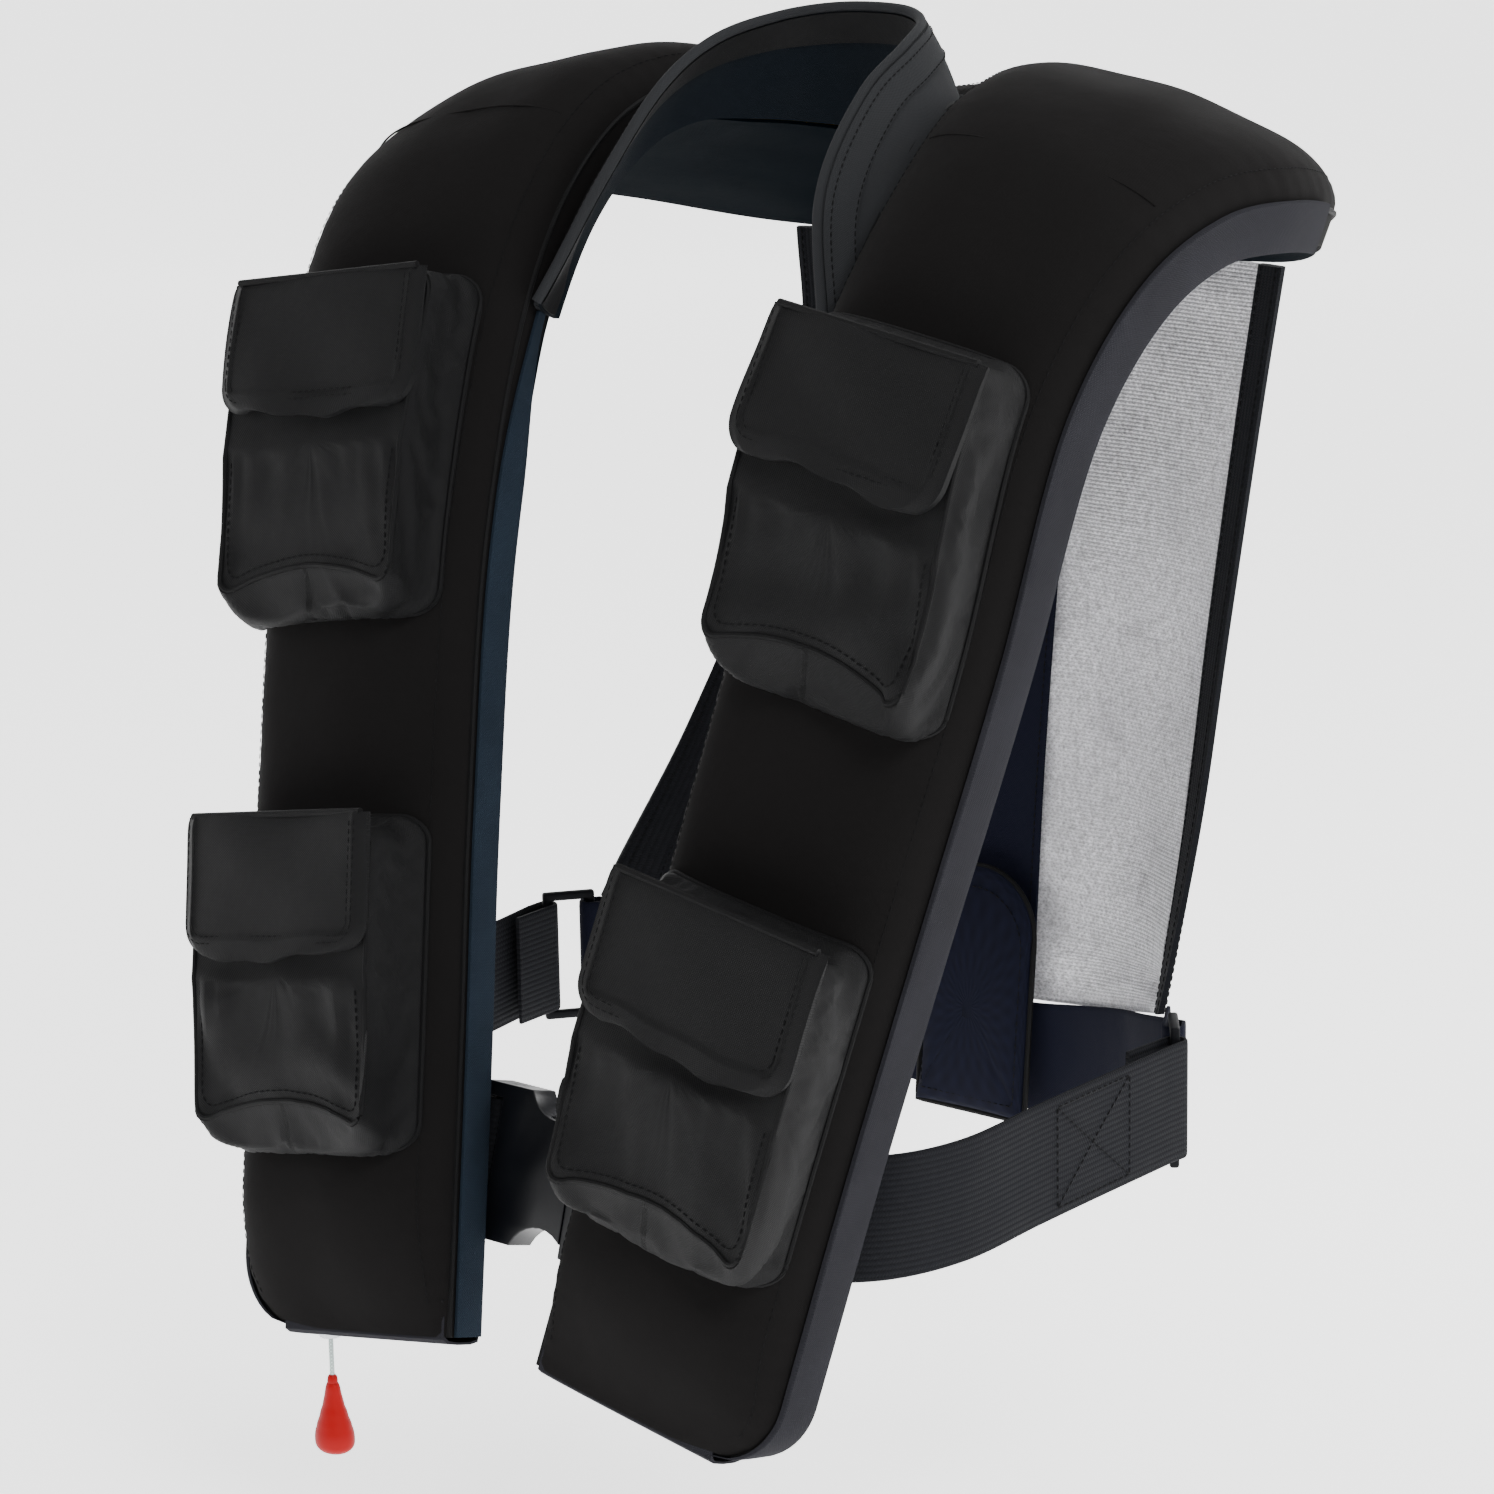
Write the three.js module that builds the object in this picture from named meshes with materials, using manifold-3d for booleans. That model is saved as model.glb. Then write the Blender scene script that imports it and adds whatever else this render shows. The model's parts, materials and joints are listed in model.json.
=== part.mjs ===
// Inflatable life jacket with four bellows pockets, in millimetres.
// +X is the wearer's left, -Y the front, +Z up. The origin is the middle of the neck opening on the shoulder line.
import * as THREE from 'three';
import { mergeVertices } from 'three/addons/utils/BufferGeometryUtils.js';
import Module from 'manifold-3d';

const wasm = await Module();
wasm.setup();

// ---------------------------------------------------------------- driving dimensions
const NECK_WIDTH = 160;          // across the collar seam at the shoulder
const LOBE_WIDTH = 117;          // front lobe, edge to edge
const HEM_DROP = 513;            // shoulder line down to the middle of the hem
const CYLINDER_DIAMETER = 27;    // gas cylinder, the thickest thing under the cover
const OVER_CYLINDER = 7;         // room over the cylinder, its share of the folded bladder included
const HEM_TAPER = 24;            // how much lower the cover is at its hem
const CROWN = CYLINDER_DIAMETER + OVER_CYLINDER;   // cover's top above the edge line
const HEM_CROWN = CROWN - HEM_TAPER;   // the same at the hem, where the pull cord comes out
const YOKE_CROWN = 24;           // the same behind the neck
const EDGE_HEIGHT = 8;           // cover's side wall above the edge line
const EDGE_DROP = 6;             // cover's side wall below the edge line
const CORNER_RADIUS = 30;        // outer corner of each hem
const COVER_THICKNESS = 2;
const LINER_THICKNESS = 1.8;
const SEAM_GAP = 0.6;            // between layers that are sewn together
const BAND_HEIGHT = 22;          // outer side band
const BAND_THICKNESS = 2.4;
const TAPE_HEIGHT = 15;          // inner edge tape
const TAPE_THICKNESS = 1.6;
const COLLAR_THICKNESS = 3;
const BINDING_DIAMETER = 3.6;    // rolled binding on the collar's rim

const POCKET_WIDTH = 104;
const POCKET_HEIGHT = 134;
const POCKET_DEPTH = 25;         // front panel above the cover's crown
const POCKET_WALL = 2;
const LOWER_POCKET_RISE = 75;    // hem to the lower pocket's bottom
const UPPER_POCKET_RISE = 291;   // hem to the upper pocket's bottom
const MOUTH_HEIGHT = 20;         // slot under the flap
const FLAP_LENGTH = 58;
const FLAP_THICKNESS = 2;
const FLAP_STANDOFF = 3.4;       // front panel to the flap's inner face
const STRIP_HEIGHT = 16;         // hook and loop strips
const STRIP_WIDTH = 60;
const STRIP_THICKNESS = 1;

const WEBBING_WIDTH = 50;
const WEBBING_THICKNESS = 2;
const BELT_SLOT_CLEARANCE = 1;   // webbing to the slot it runs through, each side
const BELT_RISE = 73;            // hem up to the buckle's middle
const RING_BAR = 4;
const RING_LENGTH = 24;          // along the belt
const BUCKLE_RIM = 6;            // above and below the webbing's slot
const BUCKLE_HEIGHT = WEBBING_WIDTH + 2 * BELT_SLOT_CLEARANCE + 2 * BUCKLE_RIM;
const BUCKLE_THICKNESS = 14;
const SOCKET_LENGTH = 50;
const PLUG_LENGTH = 34;
const BUCKLE_WALL = 3;
const ARM_HEIGHT = 7;
const ARM_LENGTH = 27;

const STRAP_WIDTH = 46;
const PAD_WIDTH = 60;
const PAD_HEIGHT = 112;
const PAD_THICKNESS = 8;
const MESH_THICKNESS = 1.6;
const EDGE_BINDING_WIDTH = 15;

const BLADDER_LOW = -5.2;        // bladder's body side, from the edge line
const BLADDER_FOLDED = -0.8;     // its top where fittings lie on it
const CYLINDER_REST = 0.5;       // gap between it and the gas cylinder
const BLADDER_MARGIN = 7;
const CYLINDER_LENGTH = 124;
const NECK_DIAMETER = 12;        // cylinder's threaded neck
const NECK_LENGTH = 14;
const INFLATOR_RISE = 104;       // hem to the firing head's middle
const HEAD_WIDTH = 34;
const HEAD_HEIGHT = 46;
const HEAD_DEPTH = 22;
const STEM_DIAMETER = 10;        // manifold's stem through the firing head
const LEVER_REACH = 22;          // lever's pivot to the pull cord
const CORD_DIAMETER = 2;
const CORD_LENGTH = 108;
const KNOB_LENGTH = 31;
const KNOB_DIAMETER = 18;
const ORAL_TUBE_DIAMETER = 12;
const RUN_CLEARANCE = 0.4;       // between a moving piece and its guide

// ---------------------------------------------------------------- colours
const finish = {
  cover: { color: 0x1c1b1a, roughness: 0.8 },
  lining: { color: 0x0d1826, roughness: 0.85 },
  band: { color: 0x34363a, roughness: 0.9 },
  collar: { color: 0x2c2d2e, roughness: 0.85 },
  pocket: { color: 0x1e1e20, roughness: 0.7 },
  mesh: { color: 0xb0afb3, roughness: 0.75 },
  webbing: { color: 0x1f2125, roughness: 0.8 },
  navy: { color: 0x10131f, roughness: 0.85 },
  plastic: { color: 0x121316, roughness: 0.4 },
  steel: { color: 0x9aa0a6, roughness: 0.3, metalness: 1 },
  bladder: { color: 0xf0c21a, roughness: 0.5 },
  red: { color: 0xcf1126, roughness: 0.35 },
  cord: { color: 0xc9dcd8, roughness: 0.7 },
  strip: { color: 0x151515, roughness: 0.95 },
};

const jacket = new THREE.Group();

function addMesh(name, geometry, look, parent = jacket) {
  const mesh = new THREE.Mesh(geometry, new THREE.MeshStandardMaterial(look));
  mesh.name = name;
  parent.add(mesh);
  return mesh;
}

// ---------------------------------------------------------------- solids from points
function signedVolume(positions, index) {
  const [a, b, c] = [new THREE.Vector3(), new THREE.Vector3(), new THREE.Vector3()];
  let total = 0;
  for (let i = 0; i < index.length; i += 3) {
    a.fromArray(positions, 3 * index[i]);
    b.fromArray(positions, 3 * index[i + 1]);
    c.fromArray(positions, 3 * index[i + 2]);
    total += a.dot(b.cross(c)) / 6;
  }
  return total;
}

function solidFrom(points, index) {
  const positions = points.flatMap((p) => [p.x, p.y, p.z]);
  const facesOut = signedVolume(positions, index) > 0;
  const turned = [];
  for (let i = 0; i < index.length; i += 3) {
    turned.push(index[i], index[i + (facesOut ? 1 : 2)], index[i + (facesOut ? 2 : 1)]);
  }
  const geometry = new THREE.BufferGeometry();
  geometry.setAttribute('position', new THREE.Float32BufferAttribute(positions, 3));
  geometry.setIndex(turned);
  return geometry;
}

// A closed sheet between two grids of points that have the same rows and columns.
function sheetSolid(outer, inner) {
  const rows = outer.length;
  const columns = outer[0].length;
  const at = (layer, row, column) => (layer * rows + row) * columns + column;
  const index = [];
  const quad = (a, b, c, d) => index.push(a, b, c, a, c, d);
  for (let r = 0; r < rows - 1; r++) {
    for (let c = 0; c < columns - 1; c++) {
      quad(at(0, r, c), at(0, r, c + 1), at(0, r + 1, c + 1), at(0, r + 1, c));
      quad(at(1, r, c), at(1, r + 1, c), at(1, r + 1, c + 1), at(1, r, c + 1));
    }
    quad(at(0, r, 0), at(0, r + 1, 0), at(1, r + 1, 0), at(1, r, 0));
    quad(at(0, r + 1, columns - 1), at(0, r, columns - 1), at(1, r, columns - 1), at(1, r + 1, columns - 1));
  }
  for (let c = 0; c < columns - 1; c++) {
    quad(at(0, 0, c + 1), at(0, 0, c), at(1, 0, c), at(1, 0, c + 1));
    quad(at(0, rows - 1, c), at(0, rows - 1, c + 1), at(1, rows - 1, c + 1), at(1, rows - 1, c));
  }
  return solidFrom([...outer.flat(), ...inner.flat()], index);
}

// A closed tube through rings of the same number of points, with a fan on each end.
function loft(rings) {
  const count = rings[0].length;
  const points = rings.flat();
  const index = [];
  for (let r = 0; r < rings.length - 1; r++) {
    for (let i = 0; i < count; i++) {
      const next = (i + 1) % count;
      const [a, b] = [r * count + i, r * count + next];
      index.push(a, b, b + count, a, b + count, a + count);
    }
  }
  const last = (rings.length - 1) * count;
  for (let i = 1; i < count - 1; i++) {
    index.push(0, i + 1, i, last, last + i, last + i + 1);
  }
  return solidFrom(points, index);
}

function toManifold(geometry) {
  const bare = new THREE.BufferGeometry();
  bare.setAttribute('position', geometry.getAttribute('position').clone());
  if (geometry.index) bare.setIndex(geometry.index.clone());
  const welded = mergeVertices(bare, 1e-4);
  return new wasm.Manifold(new wasm.Mesh({
    numProp: 3,
    vertProperties: new Float32Array(welded.getAttribute('position').array),
    triVerts: new Uint32Array(welded.index.array),
  }));
}

function fromManifold(solid) {
  const mesh = solid.getMesh();
  const geometry = new THREE.BufferGeometry();
  geometry.setAttribute('position', new THREE.BufferAttribute(new Float32Array(mesh.vertProperties), 3));
  geometry.setIndex([...mesh.triVerts]);
  return geometry;
}

function cut(body, ...tools) {
  return fromManifold(tools.reduce((rest, tool) => rest.subtract(toManifold(tool)), toManifold(body)));
}

function join(...pieces) {
  return fromManifold(pieces.map(toManifold).reduce((all, piece) => all.add(piece)));
}

function box(sizeX, sizeY, sizeZ, x = 0, y = 0, z = 0) {
  return new THREE.BoxGeometry(sizeX, sizeY, sizeZ).translate(x, y, z);
}

function cylinder(diameter, length, sides = 20) {
  return new THREE.CylinderGeometry(diameter / 2, diameter / 2, length, sides);
}

// Turned round y from a profile of [radius, height], with its faces out whichever way the profile runs.
function lathe(profile, sides = 20) {
  const turned = (points) => new THREE.LatheGeometry(points.map(([r, h]) => new THREE.Vector2(r, h)), sides);
  const geometry = turned(profile);
  const volume = signedVolume(geometry.getAttribute('position').array, geometry.index.array);
  return volume > 0 ? geometry : turned(profile.slice().reverse());
}

// ---------------------------------------------------------------- the horseshoe
// Edge lines of the horseshoe from the left hem over the shoulder to the middle of the back.
const neckSide = NECK_WIDTH / 2;
const side = new THREE.Vector3(LOBE_WIDTH - 3, 0, -20).normalize();   // across a front lobe
const innerLine = [
  new THREE.Vector3(24, -103 - 0.1696 * HEM_DROP, 10 - HEM_DROP),
  new THREE.Vector3(40, -103 - 0.115 * HEM_DROP, 10 - 0.8 * HEM_DROP),
  new THREE.Vector3(57, -103 - 0.0604 * HEM_DROP, 10 - 0.604 * HEM_DROP),
  new THREE.Vector3(72, -103, 10 - 0.4 * HEM_DROP),
  new THREE.Vector3(neckSide + 1, -66, 10 - 0.226 * HEM_DROP),
  new THREE.Vector3(neckSide + 4, -34, -62),
  new THREE.Vector3(neckSide, -4, -36),
  new THREE.Vector3(neckSide - 6, 24, -27),
  new THREE.Vector3(neckSide - 20, 50, -28),
  new THREE.Vector3(neckSide - 46, 68, -31),
  new THREE.Vector3(0, 76, -34),
];
const lobeEdge = (row, width) => innerLine[row].clone().addScaledVector(side, width);
const outerLine = [
  lobeEdge(0, LOBE_WIDTH),
  lobeEdge(1, LOBE_WIDTH),
  lobeEdge(2, LOBE_WIDTH),
  lobeEdge(3, LOBE_WIDTH + 2),
  lobeEdge(4, LOBE_WIDTH + 5).add(new THREE.Vector3(0, -8, 4)),
  lobeEdge(5, LOBE_WIDTH + 9).add(new THREE.Vector3(0, -6, 2)),
  lobeEdge(6, LOBE_WIDTH + 14).add(new THREE.Vector3(0, 8, -6)),
  lobeEdge(7, LOBE_WIDTH + 18).add(new THREE.Vector3(0, 30, -14)),
  lobeEdge(8, LOBE_WIDTH + 14).add(new THREE.Vector3(-2, 62, -24)),
  new THREE.Vector3(neckSide + 56, 158, -88),
  new THREE.Vector3(0, 176, -92),
];
const BACK = innerLine.length - 1;      // station at the middle of the back
const LAST = 2 * BACK;                  // station at the right hem
const SHOULDER = 5.5;                   // seam between front cover and yoke

const mirrored = (p) => new THREE.Vector3(-p.x, p.y, p.z);
function horseshoeCurve(line) {
  const farSide = line.slice(0, BACK).reverse().map(mirrored);
  return new THREE.CatmullRomCurve3([...line, ...farSide], false, 'centripetal');
}
const innerCurve = horseshoeCurve(innerLine);
const outerCurve = horseshoeCurve(outerLine);

// Station k runs from 0 at the left hem to LAST at the right hem.
function stationFrame(k) {
  const inner = innerCurve.getPoint(k / LAST);
  const outer = outerCurve.getPoint(k / LAST);
  const step = 0.02;
  const middle = (q) => innerCurve.getPoint(q / LAST).add(outerCurve.getPoint(q / LAST)).multiplyScalar(0.5);
  const before = middle(Math.max(0, k - step));
  const after = middle(Math.min(LAST, k + step));
  const along = after.sub(before).normalize();
  const across = outer.clone().sub(inner);
  const width = across.length();
  across.normalize();
  const out = across.clone().cross(along).normalize();
  return { inner, across, along, out, width };
}

// w runs across from the inner edge, h stands out from the edge line away from the wearer.
function placeOn(frame, w, h) {
  return frame.inner.clone().addScaledVector(frame.across, w).addScaledVector(frame.out, h);
}

const fromHem = (k) => Math.min(k, LAST - k);

// Length along the lobe's middle from the left hem to each of many even stations.
const TABLE_STEPS = 20;                 // to a station
const lengthTable = [0];
{
  const middle = (i) => {
    const frame = stationFrame(i / TABLE_STEPS);
    return placeOn(frame, frame.width / 2, 0);
  };
  for (let i = 1; i <= BACK * TABLE_STEPS; i++) lengthTable.push(lengthTable[i - 1] + middle(i).distanceTo(middle(i - 1)));
}
function stationAt(s) {
  const next = Math.max(1, lengthTable.findIndex((length) => length >= s));
  const [before, after] = [lengthTable[next - 1], lengthTable[next]];
  return (next - 1 + (s - before) / (after - before)) / TABLE_STEPS;
}
function lengthAt(k) {
  const place = Math.min(fromHem(k) * TABLE_STEPS, lengthTable.length - 1.001);
  const row = Math.floor(place);
  return THREE.MathUtils.lerp(lengthTable[row], lengthTable[row + 1], place - row);
}

function crownAt(k) {
  const nearHem = THREE.MathUtils.smoothstep(fromHem(k), -0.15, 0.55);
  const nearBack = THREE.MathUtils.smoothstep(fromHem(k), 7.5, BACK);
  return HEM_CROWN + (CROWN - HEM_CROWN) * nearHem - (CROWN - YOKE_CROWN) * nearBack;
}

// Width of the lobe where its outer hem corner is rounded off.
function widthAt(k, frame) {
  const rise = lengthAt(k);
  if (rise >= CORNER_RADIUS) return frame.width;
  const left = CORNER_RADIUS - rise;
  return frame.width - CORNER_RADIUS + Math.sqrt(CORNER_RADIUS ** 2 - left ** 2);
}

const arch = (t) => Math.sqrt(Math.max(0, 1 - Math.abs(2 * t - 1) ** 3));

// Height of the cover's outer face above the edge line.
function coverHeight(k, w, width) {
  const t = THREE.MathUtils.clamp(w / width, 0, 1);
  return EDGE_HEIGHT + (crownAt(k) - EDGE_HEIGHT) * arch(t);
}

const archSteps = [0, 0.035, 0.12, 0.28, 0.5, 0.72, 0.88, 0.965, 1];

// The cover's section, drawn in from its outer face by inset.
function coverSection(k, inset) {
  const frame = stationFrame(k);
  const width = widthAt(k, frame);
  const crown = crownAt(k) - inset;
  const edge = EDGE_HEIGHT - inset;
  const wall = (w) => placeOn(frame, w, -EDGE_DROP);
  const top = archSteps.map((t) => placeOn(
    frame, inset + (width - 2 * inset) * t, edge + (crown - edge) * arch(t)));
  return [wall(inset), ...top, wall(width - inset)];
}

// Stations shared by every layer: close together at the rounded corner and over the shoulder.
function stationsBetween(first, last) {
  const marks = [0, 0.05, 0.1, 0.2, 0.3, 0.55, 1];
  for (let k = 1.5; k <= 4; k += 0.5) marks.push(k);
  for (let k = 4.25; k < 7; k += 0.25) marks.push(k);
  for (let k = 7; k <= BACK; k += 0.5) marks.push(k);
  const both = [...marks, ...marks.slice(0, -1).reverse().map((k) => LAST - k)];
  return both.filter((k) => k >= first - 1e-6 && k <= last + 1e-6);
}

const FRONT_END = 0.02;                 // half of the gap at the shoulder seam, in stations
function endsOf(part) {
  if (part === 'yoke') return [SHOULDER, LAST - SHOULDER];
  return part === 'left' ? [0, SHOULDER] : [LAST - SHOULDER, LAST];
}
function stationsOf(part) {
  const [first, last] = endsOf(part);
  return stationsBetween(first, last).map((k) => {
    if (part === 'yoke') return THREE.MathUtils.clamp(k, first + FRONT_END, last - FRONT_END);
    return k;
  });
}

function layerOf(part, columns) {
  return stationsOf(part).map((k) => {
    const frame = stationFrame(k);
    return columns(frame, widthAt(k, frame), k);
  });
}

for (const part of ['left', 'right', 'yoke']) {
  const outer = stationsOf(part).map((k) => coverSection(k, 0));
  const inner = stationsOf(part).map((k) => coverSection(k, COVER_THICKNESS));
  addMesh(`cover_${part}`, sheetSolid(outer, inner), finish.cover);

  const linerAt = (h) => layerOf(part, (frame, width) => [0.01, 0.5, 0.99].map((t) => placeOn(frame, width * t, h)));
  const top = -EDGE_DROP - SEAM_GAP;
  addMesh(`liner_${part}`, sheetSolid(linerAt(top), linerAt(top - LINER_THICKNESS)), finish.lining);
}

// Outer side band and inner edge tape of each lobe.
const COLLAR_TIP = 4;                   // station of the collar's front end
const BAND_END = 7.5;                   // station of the armhole's back
for (const [part, toStation] of [['left', (k) => k], ['right', (k) => LAST - k]]) {
  const bandRow = (gap) => stationsBetween(0, BAND_END).map((q) => {
    const k = toStation(q);
    const frame = stationFrame(k);
    const w = widthAt(k, frame) + gap;
    return [-0.45, 0, 0.5].map((t) => placeOn(frame, w, t * BAND_HEIGHT));
  });
  addMesh(`side_band_${part}`, sheetSolid(bandRow(SEAM_GAP), bandRow(SEAM_GAP + BAND_THICKNESS)), finish.band);

  const tapeRow = (gap) => stationsBetween(0, COLLAR_TIP - 0.5).map((q) => {
    const frame = stationFrame(toStation(q));
    return [-0.55, 0.4].map((t) => placeOn(frame, -gap, t * TAPE_HEIGHT));
  });
  addMesh(`inner_tape_${part}`, sheetSolid(tapeRow(SEAM_GAP), tapeRow(SEAM_GAP + TAPE_THICKNESS)), finish.band);
}

// ---------------------------------------------------------------- collar
const rimLine = [
  new THREE.Vector3(neckSide - 3, -72, -101),
  new THREE.Vector3(neckSide - 21, -50, -50),
  new THREE.Vector3(neckSide - 26, -16, -14),
  new THREE.Vector3(neckSide - 29, 14, 1),
  new THREE.Vector3(neckSide - 40, 40, 8),
  new THREE.Vector3(neckSide - 57, 54, 11),
  new THREE.Vector3(0, 58, 12),
];
const rimCurve = new THREE.CatmullRomCurve3(
  [...rimLine, ...rimLine.slice(0, -1).reverse().map(mirrored)], false, 'centripetal');
const COLLAR_STAND_IN = 2.5;            // collar's foot to the cover's inner wall
const COLLAR_FOOT = -7;                 // collar's foot below the edge line

function collarRow(k) {
  const frame = stationFrame(k);
  const foot = placeOn(frame, -COLLAR_STAND_IN, COLLAR_FOOT);
  const rim = rimCurve.getPoint((k - COLLAR_TIP) / (LAST - 2 * COLLAR_TIP));
  const lift = rim.clone().sub(foot).normalize();
  const inward = lift.clone().cross(frame.along).normalize();
  if (inward.dot(frame.across) > 0) inward.negate();
  return { foot, rim, lift, inward };
}
{
  const rows = stationsBetween(COLLAR_TIP, LAST - COLLAR_TIP).map(collarRow);
  const face = (depth) => rows.map(({ foot, rim, inward }) => [0, 0.35, 0.7, 1].map((t) =>
    foot.clone().lerp(rim, t).addScaledVector(inward, depth)));
  addMesh('collar', sheetSolid(face(0), face(COLLAR_THICKNESS)), finish.collar);

  const bead = rows.map(({ rim, lift, inward }) => {
    const middle = rim.clone().addScaledVector(lift, BINDING_DIAMETER / 2 + SEAM_GAP)
      .addScaledVector(inward, COLLAR_THICKNESS / 2);
    return Array.from({ length: 8 }, (_, i) => middle.clone()
      .addScaledVector(inward, Math.cos(i * Math.PI / 4) * BINDING_DIAMETER / 2)
      .addScaledVector(lift, Math.sin(i * Math.PI / 4) * BINDING_DIAMETER / 2));
  });
  addMesh('collar_binding', loft(bead), finish.collar);
}

// ---------------------------------------------------------------- bladder
{
  const tops = [0.92, 0.78, 0.5, 0.22, 0.08];
  const rings = stationsBetween(0.3, LAST - 0.3).map((k) => {
    const frame = stationFrame(k);
    const width = frame.width - 2 * BLADDER_MARGIN;
    const filled = THREE.MathUtils.smoothstep(fromHem(k), 3.2, 4.4);
    const full = crownAt(k) - COVER_THICKNESS - 3;
    const top = BLADDER_FOLDED + (full - BLADDER_FOLDED) * filled;
    const point = (t, h) => placeOn(frame, BLADDER_MARGIN + width * t, h);
    const roof = tops.map((t) => point(t, BLADDER_LOW + (top - BLADDER_LOW) * (0.35 + 0.65 * arch(t))));
    return [point(0, BLADDER_LOW), point(0.5, BLADDER_LOW), point(1, BLADDER_LOW), ...roof];
  });
  addMesh('bladder', loft(rings), finish.bladder);
}

// ---------------------------------------------------------------- frames on a front lobe
// Local x towards the wearer's left, y up along the lobe, z out from the wearer.
function lobeGroup(part, s, h, shift = 0) {
  const k = part === 'left' ? stationAt(s) : LAST - stationAt(s);
  const frame = stationFrame(k);
  const turn = part === 'left' ? 1 : -1;
  const x = frame.across.clone().multiplyScalar(turn);
  const z = frame.out.clone();
  const y = z.clone().cross(x).normalize();
  const group = new THREE.Group();
  group.position.copy(placeOn(frame, frame.width / 2, h)).addScaledVector(x, shift);
  group.quaternion.setFromRotationMatrix(new THREE.Matrix4().makeBasis(x, y, z));
  jacket.add(group);
  return group;
}

// ---------------------------------------------------------------- pockets
// A bellows pocket: front panel and four gussets, with a mouth under its flap.
function pocketBody(part, rise) {
  const wallSteps = [0, 0.02, 0.07, 0.2, 0.35, 0.5, 0.65, 0.8, 0.93, 0.98, 1];
  const wallHeight = [0, 0.86, 1, 1, 1, 1, 1, 1, 1, 0.86, 0];
  const face = (inset) => wallSteps.map((v, row) => {
    const s = rise + inset + (POCKET_HEIGHT - 2 * inset) * v;
    const k = part === 'left' ? stationAt(s) : LAST - stationAt(s);
    const frame = stationFrame(k);
    const width = widthAt(k, frame);
    return wallSteps.map((u, column) => {
      const w = (width - POCKET_WIDTH) / 2 + inset + (POCKET_WIDTH - 2 * inset) * u;
      const seat = coverHeight(k, w, width) + SEAM_GAP;
      const front = CROWN + POCKET_DEPTH - inset;
      const share = wallHeight[row] * wallHeight[column];
      return placeOn(frame, w, seat + (front - seat) * share);
    });
  });
  return sheetSolid(face(0), face(POCKET_WALL));
}

function flapOutline(width, length, corner) {
  const shape = new THREE.Shape();
  shape.moveTo(-width / 2, 0);
  shape.lineTo(-width / 2, corner - length);
  shape.absarc(corner - width / 2, corner - length, corner, Math.PI, 1.5 * Math.PI, false);
  shape.absarc(width / 2 - corner, corner - length, corner, 1.5 * Math.PI, 2 * Math.PI, false);
  shape.lineTo(width / 2, 0);
  return shape;
}

const pockets = [
  ['left', 'upper', UPPER_POCKET_RISE], ['left', 'lower', LOWER_POCKET_RISE],
  ['right', 'upper', UPPER_POCKET_RISE], ['right', 'lower', LOWER_POCKET_RISE],
];
for (const [part, level, rise] of pockets) {
  const name = `${level}_pocket_${part}`;
  const top = FLAP_LENGTH / 2;          // pocket's top edge from the flap's middle
  const group = lobeGroup(part, rise + POCKET_HEIGHT - top, CROWN + POCKET_DEPTH);
  group.updateMatrixWorld();
  const mouth = box(POCKET_WIDTH - 14, MOUTH_HEIGHT, 3 * POCKET_WALL)
    .translate(0, top - MOUTH_HEIGHT / 2 - 6, 0).applyMatrix4(group.matrixWorld);
  addMesh(name, cut(pocketBody(part, rise), mouth), finish.pocket);

  const flap = new THREE.ExtrudeGeometry(flapOutline(POCKET_WIDTH + 3, FLAP_LENGTH, 12),
    { depth: FLAP_THICKNESS, bevelEnabled: false, curveSegments: 5 });
  flap.translate(0, top, FLAP_STANDOFF);
  addMesh(`${name}_flap`, flap, finish.pocket, group);

  const stripY = top - FLAP_LENGTH + 6 + STRIP_HEIGHT / 2;
  const strip = (z) => box(STRIP_WIDTH, STRIP_HEIGHT, STRIP_THICKNESS, 0, stripY, z);
  addMesh(`${name}_hook_strip`, strip(FLAP_STANDOFF - SEAM_GAP / 2 - STRIP_THICKNESS / 2), finish.strip, group);
  addMesh(`${name}_loop_strip`, strip(SEAM_GAP + STRIP_THICKNESS / 2), finish.strip, group);
}

// ---------------------------------------------------------------- back panel
// Middle line and left edge line of the back, from the yoke down to the belt.
const beltHeight = BELT_RISE - HEM_DROP;               // at the buckle
const ringHeight = beltHeight + 20;
const middleHeight = beltHeight - 18;                  // behind the wearer's back
const backMiddle = downward(-97, middleHeight + WEBBING_WIDTH / 2 + 2,
  [[0, 179, 0], [0, 174, 0.159], [0, 158, 0.458], [0, 146, 0.698], [0, 138, 0.907], [0, 135, 1]]);
const backEdge = downward(-98, ringHeight + WEBBING_WIDTH / 2 + 3,
  [[52, 166, 0], [46, 161, 0.177], [51, 127, 0.517], [62, 92, 0.755], [73, 54, 0.952], [75, 45, 1]]
    .map(([beyondNeck, y, share]) => [neckSide + beyondNeck, y, share]));

// A curve through points that each give x, y and their share of the way from the top height to the foot.
function downward(top, foot, points) {
  return new THREE.CatmullRomCurve3(points.map(([x, y, share]) =>
    new THREE.Vector3(x, y, THREE.MathUtils.lerp(top, foot, share))));
}
function backPoint(u, v, inward = 0) {
  const middle = backMiddle.getPoint(v);
  const edge = backEdge.getPoint(v);
  const reach = Math.abs(u);
  const point = new THREE.Vector3(
    edge.x * u,
    THREE.MathUtils.lerp(middle.y, edge.y, reach ** 2.4),
    THREE.MathUtils.lerp(middle.z, edge.z, reach ** 2));
  const slope = 2.4 * reach ** 1.4 * (edge.y - middle.y) / edge.x * Math.sign(u);
  const normal = new THREE.Vector3(-slope, 1, 0.13).normalize();
  return point.addScaledVector(normal, -inward);
}
const steps = (count, from = 0, to = 1) => Array.from({ length: count + 1 }, (_, i) => from + (to - from) * i / count);

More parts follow.
